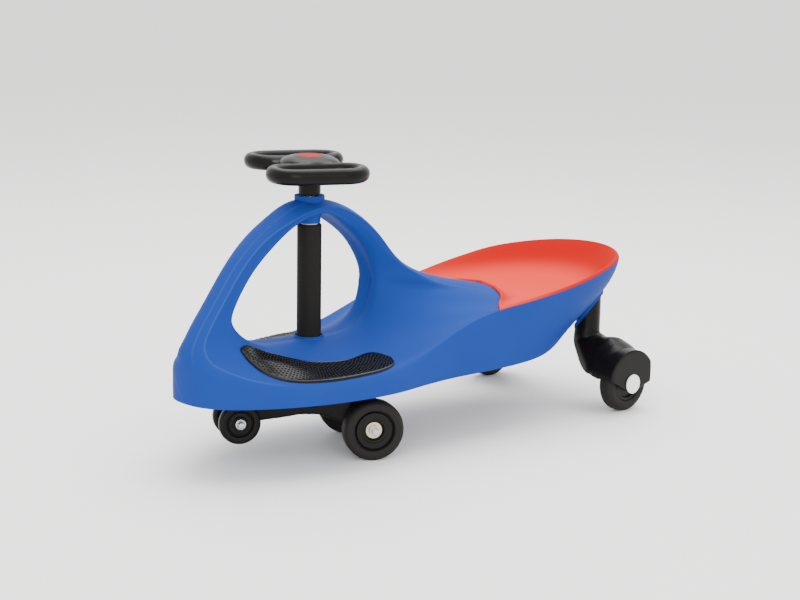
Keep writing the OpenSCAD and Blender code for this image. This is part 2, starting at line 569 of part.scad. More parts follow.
// Side and plan of the web, cut through each other
web_side = [[-tip_lead - tip_barrel_d / 2, tip_z + 4], [-tip_lead - 9, tip_z + 20], [-tip_lead + 12, frame_top - 12],
    [-52, frame_top], [main_trail - 8, frame_top - 2], [main_trail + 12, main_r + 24],
    [main_trail + main_barrel_d / 2, main_r], [main_trail, main_r - main_barrel_d / 2 + 1],
    [main_trail - 20, main_r + 2], [main_trail - 34, web_arch_z - 6], [main_trail - 58, web_arch_z + 1],
    [-18, web_arch_z + 3], [-tip_lead + 46, web_arch_z], [-tip_lead + 22, tip_z + 3], [-tip_lead, tip_z - 8]];
web_plan = [[web_w / 2, -tip_lead - 20], [web_w / 2 + 1, -tip_lead + 36], [boss_od / 2 + 2, -18],
    [main_barrel_w / 2 - 8, main_trail - 24], [main_barrel_w / 2 - 4, main_trail + 20]];
module truck_frame() color(BLACK) steered() difference() {
    union() {
        intersection() {
            rotate([90, 0, 90]) linear_extrude(height = main_track, center = true) polygon(web_side);
            linear_extrude(height = frame_top + 10) polygon(concat(web_plan,
                [for (k = [len(web_plan) - 1 : -1 : 0]) [-web_plan[k].x, web_plan[k].y]]));
        }
        translate([0, 0, web_arch_z + 4]) cylinder(d = boss_od, h = frame_top - web_arch_z - 4);
        translate([0, main_trail, main_r]) cross_rod(main_barrel_d, main_barrel_w);
        translate([0, -tip_lead, tip_z]) cross_rod(tip_barrel_d, tip_barrel_w);
    }
    translate([0, 0, shaft_low]) cylinder(d = shaft_d, h = 60);
    translate([0, 0, bolt_z]) cross_rod(axle_d, boss_od + 20);
    for (s = [-1, 1]) translate([s * (truck_half + 20), 0, bolt_z]) cross_rod(hex_across + 7, 40);
    translate([0, main_trail, main_r]) cross_rod(axle_d, main_barrel_w + 20);
    translate([0, -tip_lead, tip_z]) cross_rod(axle_d, tip_barrel_w + 20);
    for (s = [-1, 1]) translate([s * (main_x), main_trail, main_r])
        cross_rod(main_d + 2 * wheel_room, main_w + 2 * side_gap);
    for (s = [-1, 1]) translate([s * tip_x, -tip_lead, tip_z])
        cross_rod(tip_d + 2 * wheel_room, tip_w + 2 * side_gap);
}
nut_t = 6.5;
hex_across = 13;
module bolt_along_x(reach_right, reach_left) {
    translate([-reach_right, 0, 0]) rotate([0, 90, 0]) cylinder(d = axle_d, h = reach_right + reach_left);
    translate([-reach_right - 5.5, 0, 0]) rotate([0, 90, 0]) hex_prism(hex_across, 5.5);
}
module nut_at(x) translate([x, 0, 0]) rotate([0, 90, 0]) difference() {
    hex_prism(hex_across, nut_t);
    translate([0, 0, -1]) cylinder(d = axle_d, h = nut_t + 2);
}
truck_half = boss_od / 2;
module truck_bolt() color(STEEL) steered() translate([0, 0, bolt_z]) bolt_along_x(truck_half, truck_half + nut_t + 1);
module truck_nut() color(STEEL) steered() translate([0, 0, bolt_z]) nut_at(truck_half);
main_out = main_x + main_w / 2 - 6 + washer_t;
module main_axle() color(STEEL) steered() translate([0, main_trail, main_r]) bolt_along_x(main_out, main_out + nut_t + 1);
module main_nut() color(STEEL) steered() translate([0, main_trail, main_r]) nut_at(main_out);
bearing_out = main_x + main_w / 2 - 6;
bearing_in = main_barrel_w / 2 + washer_t;
module main_washers() color(STEEL) steered() translate([0, main_trail, main_r]) for (s = [-1, 1]) {
    translate([s * (main_barrel_w / 2 + washer_t / 2), 0, 0]) cross_ring(axle_d + 6, axle_d, washer_t);
    translate([s * (bearing_out + washer_t / 2), 0, 0]) cross_ring(axle_d + 6, axle_d, washer_t);
}
tip_out = tip_x + tip_w / 2 + side_gap;
tip_washer_t = 1.6;
module tip_axle() color(STEEL) steered() translate([0, -tip_lead, tip_z])
    bolt_along_x(tip_out + tip_washer_t, tip_out + tip_washer_t + nut_t + 1);
module tip_nut() color(STEEL) steered() translate([0, -tip_lead, tip_z]) nut_at(tip_out + tip_washer_t);
module tip_washers() color(STEEL) steered() translate([0, -tip_lead, tip_z]) for (s = [-1, 1])
    translate([s * (tip_out + tip_washer_t / 2), 0, 0]) cross_ring(axle_d + 6, axle_d, tip_washer_t);

// A tread with rounded shoulders and a bore, turned about X
module tyre(d, w, bore, round) rotate([0, 90, 0]) rotate_extrude() difference() {
    translate([bore / 2, -w / 2]) square([(d - bore) / 2, w]);
    for (s = [-1, 1]) translate([d / 2 - round, s * (w / 2 - round)]) difference() {
        translate([0, s > 0 ? 0 : -round - 1]) square([round + 1, round + 1]);
        circle(r = round, $fn = 32);
    }
}
// Main wheels: urethane tyre, plastic hub and a pair of bearings
hub_d = main_d * 2 / 3;
module main_place(s) steered() translate([s * main_x, main_trail, main_r]) children();
module main_tyre(s) color(BLACK) main_place(s) tyre(main_d, main_w, hub_d, 6);
module main_hub(s) color(BLACK) main_place(s) rotate([0, 90, 0]) difference() {
    cylinder(d = hub_d, h = main_w - 4, center = true);
    cylinder(d = bearing_d, h = main_w + 2, center = true);
    for (m = [0, 1]) mirror([0, 0, m]) translate([0, 0, main_w / 2 - 8]) ring(hub_d - 8, bearing_d + 8, 10);
}
module bearing() cross_ring(bearing_d, axle_d + 2 * run_gap, bearing_w);
module main_bearing(s) color(ZINC) steered() translate([0, main_trail, main_r]) {
    translate([s * (bearing_out - side_gap / 2 - bearing_w / 2), 0, 0]) bearing();
    translate([s * (bearing_in + side_gap / 2 + bearing_w / 2), 0, 0]) bearing();
}
// Tip wheels: solid wheels on a plain bush
tip_bush_d = axle_d + 5;
module tip_place(s) steered() translate([s * tip_x, -tip_lead, tip_z]) children();
module tip_wheel(s) color(BLACK) tip_place(s) difference() {
    tyre(tip_d, tip_w, tip_bush_d, 4);
    for (m = [0, 1]) mirror([m, 0, 0]) translate([tip_w / 2, 0, 0]) cross_ring(tip_d - 24, tip_bush_d + 6, 5);
}
module tip_bush(s) color(WHITE) tip_place(s) cross_ring(tip_bush_d, axle_d + 2 * run_gap, tip_w);

// Rear leg: a post in the stern's socket, an elbow and a fender over the wheel
fender_t = 3.5;
fender_r = rear_r + wheel_room + fender_t;
fender_in = rear_x - rear_w / 2 - side_gap - 6;
fender_out = rear_x + rear_w / 2 + side_gap + 6;
fender_edge = 8;
fender_low = rear_r - 10;
elbow_z = 94;
// Half section of the fender about the axle: [radius, distance along the axle]
fender_section = concat([[0, 0], [fender_r, 0], [fender_r - 1, fender_out - fender_in - fender_edge]],
    [for (a = [15 : 15 : 90]) [fender_r - 1 - fender_edge * (1 - cos(a)),
        fender_out - fender_in - fender_edge * (1 - sin(a))]],
    [[0, fender_out - fender_in]]);
// What is cut away below the fender: level under the outer plate, rising towards the post
fender_cut = [[0, -60], [fender_out + 1, -60], [fender_out + 1, fender_low], [rear_x + rear_w / 2 - 4, fender_low],
    [fender_in - 4, rear_r + 12], [post_x - 5, elbow_z - post_d / 2 - 4], [0, elbow_z - post_d / 2 - 4]];
// What is cut away ahead of the outer plate's tongue and behind it: [distance behind the axle, height]
fender_front_cut = [[-fender_r - 5, -20], [-fender_r - 5, rear_r + 16], [-fender_r, rear_r + 13], [-12, fender_low],
    [-12, -20]];
fender_rear_cut = [[14, -20], [14, fender_low], [fender_r, rear_r - 1], [fender_r + 5, rear_r - 1],
    [fender_r + 5, -20]];
// Inner plate that carries the axle beside the wheel
hanger_r = 12;
module hanger() translate([fender_in, rear_y, rear_r]) {
    rotate([0, 90, 0]) cylinder(r = hanger_r, h = 6);
    translate([0, -hanger_r, 0]) cube([6, 2 * hanger_r, 34]);
}
module rear_leg(s) color(BLACK) mirror([s > 0 ? 0 : 1, 0, 0]) difference() {
    union() {
        difference() {
            union() {
                translate([post_x, rear_y, elbow_z]) cylinder(d = post_d, h = socket_top - 6 - elbow_z);
                hull() {
                    translate([post_x, rear_y, elbow_z]) sphere(d = post_d, $fn = 32);
                    translate([fender_in, rear_y, rear_r]) rotate([0, 90, 0])
                        cylinder(r = fender_r - 0.3, h = 4, $fn = 48);
                }
                translate([fender_in, rear_y, rear_r]) rotate([0, 90, 0]) rotate_extrude() polygon(fender_section);
            }
            translate([0, rear_y + 100, 0]) rotate([90, 0, 0]) linear_extrude(height = 200) polygon(fender_cut);
            translate([0, rear_y, 0]) rotate([90, 0, 90]) linear_extrude(height = 200) polygon(fender_front_cut);
            translate([0, rear_y, 0]) rotate([90, 0, 90]) linear_extrude(height = 200) polygon(fender_rear_cut);
        }
        hanger();
    }
    translate([rear_x, rear_y, rear_r]) cross_rod(rear_d + 2 * wheel_room, rear_w + 2 * side_gap);
    translate([rear_x, rear_y, rear_r]) cross_rod(axle_d, 90);
    translate([post_x, rear_y, socket_top - 40]) cylinder(d = screw_d + 3, h = 50);
}
module leg_bolts() color(STEEL) for (s = [-1, 1]) translate([s * post_x, rear_y, 0]) {
    translate([0, 0, socket_top]) hex_prism(hex_across, 5.5);
    translate([0, 0, socket_top - 36]) cylinder(d = screw_d + 3, h = 37);
}
clip_t = 2;
cap_t = 4;
axle_in = fender_in - clip_t - 3;
module rear_place(s) mirror([s > 0 ? 0 : 1, 0, 0]) translate([0, rear_y, rear_r]) children();
module rear_axle(s) color(STEEL) rear_place(s)
    translate([axle_in, 0, 0]) rotate([0, 90, 0]) cylinder(d = axle_d, h = fender_out + cap_t - 1 - axle_in);
module rear_cap(s) color(ZINC) rear_place(s) translate([fender_out, 0, 0]) rotate([0, 90, 0]) difference() {
    cylinder(d = axle_cap_d, h = cap_t);
    translate([0, 0, -1]) cylinder(d = axle_d, h = cap_t);
}
module rear_clip(s) color(STEEL) rear_place(s)
    translate([fender_in - clip_t / 2, 0, 0]) cross_ring(axle_d + 8, axle_d, clip_t);
rear_hub_d = rear_d * 13 / 21;
module rear_tyre(s) color(BLACK) rear_place(s) translate([rear_x, 0, 0]) tyre(rear_d, rear_w, rear_hub_d, 7);
module rear_hub(s) color(BLACK) rear_place(s) translate([rear_x, 0, 0]) rotate([0, 90, 0]) difference() {
    cylinder(d = rear_hub_d, h = rear_w - 3, center = true);
    cylinder(d = axle_d + 2 * run_gap, h = rear_w + 2, center = true);
    for (m = [0, 1]) mirror([0, 0, m]) translate([0, 0, rear_w / 2 - 6]) ring(rear_hub_d - 8, axle_d + 12, 8);
}

placed() body_shell();
placed() seat_pan();
placed() seat_screws();
placed() foot_pad();  // foot_pad_left
placed() mirror([1, 0, 0]) foot_pad();  // foot_pad_right
placed() upper_bush();
placed() lower_bush();
placed() rear_leg(1);  // rear_leg_left
placed() rear_leg(-1);  // rear_leg_right
placed() leg_bolts();
placed() rear_axle(1);  // rear_axle_left
placed() rear_axle(-1);  // rear_axle_right
placed() rear_cap(1);  // rear_cap_left
placed() rear_cap(-1);  // rear_cap_right
placed() rear_clip(1);  // rear_clip_left
placed() rear_clip(-1);  // rear_clip_right
placed() rear_tyre(1);  // rear_tyre_left
placed() rear_tyre(-1);  // rear_tyre_right
placed() rear_hub(1);  // rear_hub_left
placed() rear_hub(-1);  // rear_hub_right
placed() steering_shaft();
placed() column_sleeve();
placed() column_washer();
placed() steering_wheel();
placed() steering_cap();
placed() steering_bolt();
placed() truck_frame();
placed() truck_bolt();
placed() truck_nut();
placed() main_axle();
placed() main_nut();
placed() main_washers();
placed() tip_axle();
placed() tip_nut();
placed() tip_washers();
placed() main_tyre(1);  // main_tyre_left
placed() main_tyre(-1);  // main_tyre_right
placed() main_hub(1);  // main_hub_left
placed() main_hub(-1);  // main_hub_right
placed() main_bearing(1);  // main_bearing_left
placed() main_bearing(-1);  // main_bearing_right
placed() tip_wheel(1);  // tip_wheel_left
placed() tip_wheel(-1);  // tip_wheel_right
placed() tip_bush(1);  // tip_bush_left
placed() tip_bush(-1);  // tip_bush_right
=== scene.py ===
"""Looks of the wiggle car: a moulded ride-on toy with a turning front truck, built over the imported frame."""

import json
import logging
import math
from collections.abc import Iterator
from contextlib import contextmanager
from dataclasses import dataclass, field
from enum import Enum

import bmesh
import bpy
import numpy as np
from mathutils import Matrix, Vector
from mathutils.kdtree import KDTree


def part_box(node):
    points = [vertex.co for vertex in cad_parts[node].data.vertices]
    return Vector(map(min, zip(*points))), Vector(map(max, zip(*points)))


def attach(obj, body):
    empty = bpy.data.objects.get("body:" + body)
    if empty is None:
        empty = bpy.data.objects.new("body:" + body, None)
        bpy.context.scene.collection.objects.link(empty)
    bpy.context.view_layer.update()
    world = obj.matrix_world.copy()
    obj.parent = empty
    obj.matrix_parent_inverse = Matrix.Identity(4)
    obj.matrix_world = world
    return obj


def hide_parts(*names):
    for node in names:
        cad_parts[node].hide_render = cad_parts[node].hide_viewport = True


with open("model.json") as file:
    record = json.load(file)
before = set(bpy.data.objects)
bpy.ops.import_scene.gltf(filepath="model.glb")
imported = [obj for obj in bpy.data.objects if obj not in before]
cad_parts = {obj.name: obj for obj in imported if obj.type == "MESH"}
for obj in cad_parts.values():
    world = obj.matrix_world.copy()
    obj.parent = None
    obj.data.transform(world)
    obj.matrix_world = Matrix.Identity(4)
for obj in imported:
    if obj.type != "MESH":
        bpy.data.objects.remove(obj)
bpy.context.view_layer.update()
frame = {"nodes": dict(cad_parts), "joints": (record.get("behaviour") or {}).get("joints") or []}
LOG = logging.getLogger("wiggle_car")
JOINTS = {joint["name"]: joint for joint in frame["joints"]}
# The steering axis stands at this y in the row frame, and the front truck is turned by this angle
AXIS_Y = JOINTS["steering_turn"]["pos_m"][1]
MAIN_AXLE = JOINTS["main_wheel_left_spin"]["axis"]
TRUCK_ANGLE = math.atan2(MAIN_AXLE[1], MAIN_AXLE[0])
COLUMN_FOOT = (0, AXIS_Y, 0)
UPRIGHT = (0, 0, 1)
MM = 0.001
# Both sides of the car, and what takes a point of the left half to the right one
SIDES = ((1, "left"), (-1, "right"))
MIRROR = np.array([-1.0, 1.0, 1.0])
# Name of the mesh attribute that says how much painted highlight a surface gets, from 0 to 1
PAINTED_HIGHLIGHT = "painted_highlight"
Points = np.ndarray


class Body(Enum):
    """The rigid bodies that pieces ride on."""

    CHASSIS = "chassis"
    STEERING = "steering"
    MAIN_LEFT = "main_wheel_left"
    MAIN_RIGHT = "main_wheel_right"
    TIP_LEFT = "tip_wheel_left"
    TIP_RIGHT = "tip_wheel_right"
    REAR_LEFT = "rear_wheel_left"
    REAR_RIGHT = "rear_wheel_right"


class Slot(Enum):
    """The record's material slots."""

    SHELL = "blue_shell"
    SEAT = "red_seat"
    BLACK = "black_plastic"
    PAD = "pad_rubber"
    TREAD = "wheel_tread"
    HUB = "hub_plastic"
    NYLON = "white_nylon"
    STEEL = "steel"
    CAP = "cap_zinc"
    BEARING = "bearing_ring"


# Small helpers for places, meshes and nodes


def to_row(points: Points) -> Points:
    """Move points from the steering axis in millimetres to the row frame in metres."""
    return np.asarray(points, float) * MM + np.array([0.0, AXIS_Y, 0.0])


def linear(hex_colour: str) -> tuple[float, float, float, float]:
    """Turn an sRGB hex colour into linear red, green, blue and alpha."""
    out = []
    for k in (1, 3, 5):
        value = int(hex_colour[k:k + 2], 16) / 255
        out.append(value / 12.92 if value <= 0.04045 else ((value + 0.055) / 1.055) ** 2.4)
    return (*out, 1.0)


def add(tree: bpy.types.NodeTree, kind: str, inputs: dict | None = None, **settings) -> bpy.types.Node:
    """Add one node to a tree.

    Args:
        tree: the node tree.
        kind: the node's type name.
        inputs: socket name or number to a value, or to an output socket to link from.
        settings: plain attributes of the node.

    Returns:
        The new node.
    """
    node = tree.nodes.new(kind)
    for name, value in settings.items():
        setattr(node, name, value)
    for key, value in (inputs or {}).items():
        if isinstance(value, bpy.types.NodeSocket):
            tree.links.new(value, node.inputs[key])
        else:
            node.inputs[key].default_value = value
    return node


def linked(name: str, data: bpy.types.ID) -> bpy.types.Object:
    """Make an object of some data and link it to the scene."""
    made = bpy.data.objects.new(name, data)
    bpy.context.scene.collection.objects.link(made)
    return made


@contextmanager
def edited(mesh: bpy.types.Mesh) -> Iterator[bmesh.types.BMesh]:
    """Open a mesh for editing and write it back."""
    made = bmesh.new()
    made.from_mesh(mesh)
    yield made
    made.to_mesh(mesh)
    made.free()


def mesh_piece(name: str, points: Points, faces: list) -> bpy.types.Object:
    """Make an object from points in the row frame, with doubles merged and faces turned outward.

    Args:
        name: the piece's name.
        points: vertices in metres.
        faces: lists of vertex numbers.

    Returns:
        The linked object, at the origin.
    """
    mesh = bpy.data.meshes.new(name)
    mesh.from_pydata([tuple(p) for p in points], [], faces)
    with edited(mesh) as made:
        bmesh.ops.remove_doubles(made, verts=made.verts, dist=2e-6)
        bmesh.ops.dissolve_degenerate(made, edges=made.edges, dist=1e-7)
        bmesh.ops.recalc_face_normals(made, faces=made.faces)
    return linked(name, mesh)


def apply_modifiers(piece: bpy.types.Object) -> bpy.types.Object:
    """Turn the evaluated object into a plain mesh and drop its modifiers."""
    graph = bpy.context.evaluated_depsgraph_get()
    graph.update()
    mesh = bpy.data.meshes.new_from_object(piece.evaluated_get(graph), depsgraph=graph)
    piece.modifiers.clear()
    piece.data = mesh
    return piece


def shade(piece: bpy.types.Object, degrees: float = 35) -> bpy.types.Object:
    """Shade smooth, with edges sharper than the angle kept crisp."""
    mesh = piece.data
    mesh.polygons.foreach_set("use_smooth", [True] * len(mesh.polygons))
    mesh.set_sharp_from_angle(angle=math.radians(degrees))
    return piece


def filleted(corners: list[tuple], steps: int = 5) -> list[tuple[float, float]]:
    """Round the corners of an outline.

    Args:
        corners: (radius, along) or (radius, along, fillet) points; a missing fillet leaves the corner sharp.
        steps: arcs are cut into this many pieces.

    Returns:
        The outline as plain points.
    """
    out: list[tuple[float, float]] = []
    count = len(corners)
    for k, corner in enumerate(corners):
        here = np.array(corner[:2], float)
        if len(corner) < 3 or corner[2] <= 0:
            out.append((here[0], here[1]))
            continue
        before = np.array(corners[k - 1][:2], float) - here
        after = np.array(corners[(k + 1) % count][:2], float) - here
        reach = min(corner[2], 0.48 * np.linalg.norm(before), 0.48 * np.linalg.norm(after))
        start = here + before / np.linalg.norm(before) * reach
        end = here + after / np.linalg.norm(after) * reach
        for i in range(steps + 1):
            t = i / steps
            p = bent(start, here, end, t)
            out.append((p[0], p[1]))
    return out


def turned(name: str, outline: list[tuple], centre: tuple, axis: tuple, cuts: int = 96) -> bpy.types.Object:
    """Turn a closed outline about an axis.

    Args:
        name: the piece's name.
        outline: (radius, along) corners in millimetres, with fillets, as filleted() takes them.
        centre: the axis point that along is counted from, in the row frame in metres.
        axis: the axis direction.
        cuts: facets round the axis.

    Returns:
        The turned piece.
    """
    profile = filleted(outline)
    along = Vector(axis).normalized()
    side = along.orthogonal().normalized()
    other = along.cross(side)
    points, faces = [], []
    count = len(profile)
    for i in range(cuts):
        angle = 2 * math.pi * i / cuts
        out = side * math.cos(angle) + other * math.sin(angle)
        points += [Vector(centre) + along * (a * MM) + out * (r * MM) for r, a in profile]
        j = (i + 1) % cuts
        for k in range(count):
            m = (k + 1) % count
            faces.append([i * count + k, j * count + k, j * count + m, i * count + m])
    return shade(mesh_piece(name, np.array([tuple(p) for p in points]), faces), 38)


def merged_copy(node: str, name: str) -> bpy.types.Object:
    """A copy of a frame node with its loose triangles merged."""
    mesh = frame["nodes"][node].data.copy()
    mesh.materials.clear()
    with edited(mesh) as made:
        bmesh.ops.remove_doubles(made, verts=made.verts, dist=3e-6)
    return linked(name, mesh)


def softened(node: str, name: str, voxel_mm: float, rounds: int,
             extra: bpy.types.Object | None = None) -> bpy.types.Object:
    """A moulded copy of a frame node: remeshed evenly, with every edge and inner corner rounded off.

    Args:
        node: the frame node.
        name: the new piece's name.
        voxel_mm: size of the remesh cells.
        rounds: smoothing passes; more gives larger fillets.
        extra: a closed form that is moulded in one with the node.

    Returns:
        The softened piece.
    """
    piece = merged_copy(node, name)
    if extra:
        with edited(piece.data) as made:
            made.from_mesh(extra.data)
        bpy.data.objects.remove(extra)
    remesh = piece.modifiers.new("cells", "REMESH")
    remesh.mode = "VOXEL"
    remesh.voxel_size = voxel_mm * MM
    smooth = piece.modifiers.new("fillets", "SMOOTH")
    smooth.factor = 0.5
    smooth.iterations = rounds
    apply_modifiers(piece)
    return shade(piece, 60)


def eased(node: str, name: str, width_mm: float) -> bpy.types.Object:
    """A copy of a small frame node with its sharp edges broken by a bevel."""
    piece = merged_copy(node, name)
    with edited(piece.data) as made:
        bmesh.ops.dissolve_limit(made, angle_limit=math.radians(1), verts=made.verts, edges=made.edges)
    bevel = piece.modifiers.new("broken edges", "BEVEL")
    bevel.width = width_mm * MM
    bevel.segments = 2
    bevel.limit_method = "ANGLE"
    bevel.angle_limit = math.radians(40)
    apply_modifiers(piece)
    return shade(piece, 30)


def open_tree(name: str, kinds: dict[str, str]) -> tuple[bpy.types.NodeTree, bpy.types.Node, dict[str, str]]:
    """Start a geometry node tree.

    Args:
        name: the tree's name.
        kinds: its inputs after the geometry, by name, with their socket types.

    Returns:
        The tree, its input node and the identifier of each named input.
    """
    tree = bpy.data.node_groups.new(name, "GeometryNodeTree")
    for side in ("INPUT", "OUTPUT"):
        tree.interface.new_socket("Geometry", in_out=side, socket_type="NodeSocketGeometry")
    identifiers = {}
    for key, kind in kinds.items():
        identifiers[key] = tree.interface.new_socket(key, in_out="INPUT", socket_type=kind).identifier
    return tree, add(tree, "NodeGroupInput"), identifiers


def set_out(tree: bpy.types.NodeTree, material: bpy.types.Material, inputs: dict) -> None:
    """Set copies out on points, make them real, smooth them, give them a material and close the tree."""
    laid = add(tree, "GeometryNodeInstanceOnPoints", inputs)
    real = add(tree, "GeometryNodeRealizeInstances", {0: laid.outputs[0]})
    soft = add(tree, "GeometryNodeSetShadeSmooth", {0: real.outputs[0]})
    skin = add(tree, "GeometryNodeSetMaterial", {"Geometry": soft.outputs[0], "Material": material})
    add(tree, "NodeGroupOutput", {0: skin.outputs[0]})


def dress(piece: bpy.types.Object, material: bpy.types.Material, body: Body, slot: Slot,
          *nodes: str) -> bpy.types.Object:
    """Give a piece its material and its body, and hide the frame nodes that it stands for.

    Args:
        piece: the finished mesh.
        material: what it is made of.
        body: the rigid body that it rides on.
        slot: not used.
        nodes: frame nodes that it replaces.

    Returns:
        The same piece.
    """
    piece.data.materials.clear()
    piece.data.materials.append(material)
    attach(piece, body.value)
    if nodes:
        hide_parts(*nodes)
    LOG.info("%s: %d faces on %s", piece.name, len(piece.data.polygons), body.value)
    return piece


# Finishes


@dataclass(frozen=True)
class Paintbox:
    """A new material with what every finish draws on it."""

    material: bpy.types.Material

    @property
    def tree(self) -> bpy.types.NodeTree:
        """The material's node tree."""
        return self.material.node_tree

    @property
    def shader(self) -> bpy.types.Node:
        """The material's shader."""
        return self.tree.nodes["Principled BSDF"]

    @classmethod
    def named(cls, name: str) -> "Paintbox":
        """Start a material."""
        material = bpy.data.materials.new(name)
        material.use_nodes = True
        return cls(material)

    def pattern(self, kind: str, size_mm: float, **inputs: float) -> bpy.types.NodeSocket:
        """A texture on the object's own coordinates, with features of a size in millimetres."""
        place = add(self.tree, "ShaderNodeTexCoord").outputs["Object"]
        return add(self.tree, kind, {"Vector": place, "Scale": 1 / (size_mm * MM), **inputs}).outputs[0]

    def tint(self, share: bpy.types.NodeSocket, first: str | bpy.types.NodeSocket,
             second: str) -> bpy.types.NodeSocket:
        """Mix two colours, of which the first may come from another mix."""
        start = linear(first) if isinstance(first, str) else first
        mix = add(self.tree, "ShaderNodeMix", {0: share, 6: start, 7: linear(second)}, data_type="RGBA")
        return mix.outputs[2]

    def spread(self, share: bpy.types.NodeSocket, low: float, high: float) -> bpy.types.NodeSocket:
        """Spread a pattern over a range of values."""
        return add(self.tree, "ShaderNodeMapRange", {0: share, 3: low, 4: high}).outputs[0]

    def relief(self, height: bpy.types.NodeSocket, strength: float, depth_mm: float) -> None:
        """Raise a pattern on the surface."""
        bump = add(self.tree, "ShaderNodeBump", {"Height": height, "Strength": strength,
                                                 "Distance": depth_mm * MM})
        self.tree.links.new(bump.outputs[0], self.shader.inputs["Normal"])

    def finish(self, colour: bpy.types.NodeSocket, rough: bpy.types.NodeSocket,
               **plain: float) -> bpy.types.Material:
        """Join colour and roughness to the shader and set its plain values.

        Args:
            colour: the surface colour.
            rough: the roughness.
            plain: the shader's input names, with _ for a space, and their values.

        Returns:
            The material.
        """
        self.tree.links.new(colour, self.shader.inputs["Base Color"])
        self.tree.links.new(rough, self.shader.inputs["Roughness"])
        for name, value in plain.items():
            self.shader.inputs[name.replace("_", " ")].default_value = value
        return self.material


@dataclass(frozen=True)
class MouldedPlastic:
    """Injection-moulded polypropylene: satin skin with a fine spark-eroded grain, faint flow marks and an
    optional painted highlight colour.
    """

    name: str
    colour: str
    flow_colour: str
    roughness: float = 0.42
    flow_mm: float = 70.0
    grain_mm: float = 0.9
    grain_depth: float = 0.05
    sheen: float = 0.2
    # Colour of the painted highlight, mixed in where the mesh's painted-highlight attribute asks for it
    painted_highlight_colour: str = ""

    def build(self) -> bpy.types.Material:
        """Build the material."""
        box = Paintbox.named(self.name)
        flow = box.pattern("ShaderNodeTexNoise", self.flow_mm, Detail=3.0)
        colour = box.tint(flow, self.colour, self.flow_colour)
        # Painted highlight: a lighter colour mixed in by the mesh attribute
        if self.painted_highlight_colour:
            painted_highlight = add(box.tree, "ShaderNodeAttribute", attribute_name=PAINTED_HIGHLIGHT).outputs["Fac"]
            colour = box.tint(painted_highlight, colour, self.painted_highlight_colour)
        grain = box.pattern("ShaderNodeTexNoise", self.grain_mm, Detail=2.0)
        box.relief(grain, self.grain_depth, 0.4)
        rough = box.spread(grain, self.roughness - 0.05, self.roughness + 0.06)
        return box.finish(colour, rough, Specular_IOR_Level=self.sheen)


@dataclass(frozen=True)
class CastRubber:
    """Rubbery tread or foam: dark and matt, with a fine open grain that scatters light."""

    name: str
    colour: str
    worn_colour: str
    roughness: float = 0.62
    patch_mm: float = 14.0
    grain_mm: float = 0.8
    grain_depth: float = 0.25
    sheen: float = 0.17

    def build(self) -> bpy.types.Material:
        """Build the material."""
        box = Paintbox.named(self.name)
        patch = box.pattern("ShaderNodeTexNoise", self.patch_mm, Detail=4.0)
        box.relief(box.pattern("ShaderNodeTexVoronoi", self.grain_mm), self.grain_depth, 0.3)
        rough = box.spread(patch, self.roughness - 0.08, self.roughness + 0.1)
        colour = box.tint(patch, self.colour, self.worn_colour)
        return box.finish(colour, rough, Specular_IOR_Level=self.sheen)


@dataclass(frozen=True)
class PlatedMetal:
    """Zinc plate or polished steel: bright metal with a faint crystal mottle in its gloss."""

    name: str
    colour: str
    dull_colour: str
    roughness: float = 0.28
    mottle_mm: float = 3.0
    metallic: float = 1.0

    def build(self) -> bpy.types.Material:
        """Build the material."""
        box = Paintbox.named(self.name)
        mottle = box.pattern("ShaderNodeTexNoise", self.mottle_mm, Detail=3.0)
        rough = box.spread(mottle, self.roughness - 0.06, self.roughness + 0.08)
        return box.finish(box.tint(mottle, self.colour, self.dull_colour), rough, Metallic=self.metallic)


def painted(finish: MouldedPlastic | CastRubber | PlatedMetal) -> bpy.types.Material:
    """A dataclass field whose value is the finish's material."""
    return field(default_factory=finish.build)


@dataclass
class Finishes:
    """Every material of the car, built once."""

    # Body: blue polypropylene, satin from the mould, with a lighter painted highlight along its creases
    shell: bpy.types.Material = painted(MouldedPlastic(
        "blue_polypropylene", "#193780", "#1C3B86", roughness=0.58, sheen=0.04,
        painted_highlight_colour="#4A74BC"))
    # Seat and cap: red polypropylene, a little glossier, with a paler painted sheen on the seat's floor
    seat: bpy.types.Material = painted(MouldedPlastic(
        "red_polypropylene", "#A80502", "#AE0703", roughness=0.52, sheen=0.03,
        painted_highlight_colour="#D0382B"))
    # Steering wheel, truck and legs: black polypropylene with a soft sheen
    black: bpy.types.Material = painted(MouldedPlastic(
        "black_polypropylene", "#0B0A09", "#100E0D", roughness=0.3, grain_mm=1.1, grain_depth=0.05,
        sheen=0.11))
    # Hubs: black nylon, a little duller
    hub: bpy.types.Material = painted(MouldedPlastic(
        "black_nylon", "#0E0D0C", "#141312", roughness=0.42, sheen=0.14))
    # Foot pads: glossy thermoplastic rubber, which mirrors what stands over it
    pad: bpy.types.Material = painted(MouldedPlastic(
        "thermoplastic_rubber", "#060505", "#0A0908", roughness=0.17, grain_mm=1.4, grain_depth=0.05,
        sheen=0.16))
    # Treads: cast polyurethane, dark and matt
    tread: bpy.types.Material = painted(CastRubber(
        "cast_polyurethane", "#161413", "#1E1B1A"))
    # Column sleeve: black foam with a fine open grain
    foam: bpy.types.Material = painted(CastRubber(
        "black_foam", "#110F0E", "#171513", roughness=0.75, grain_mm=1.1, grain_depth=0.4))
    # Bushes: white nylon
    nylon: bpy.types.Material = painted(MouldedPlastic(
        "white_nylon", "#E9E8E1", "#F1F0EA", roughness=0.38))
    # Axles and fasteners: zinc-plated steel
    steel: bpy.types.Material = painted(PlatedMetal(
        "zinc_plated_steel", "#C4C6C8", "#A9ACB0"))
    # Axle caps: pale pressed cap with a satin skin
    cap: bpy.types.Material = painted(PlatedMetal(
        "pale_satin_cap", "#F4F6F4", "#ECEEEC", roughness=0.35, metallic=0.0))
    # Bearing rings: polished steel with a warm oil film
    bearing: bpy.types.Material = painted(PlatedMetal(
        "oiled_bearing_steel", "#D8CBA6", "#C2B48E", roughness=0.25))


# The moulded body


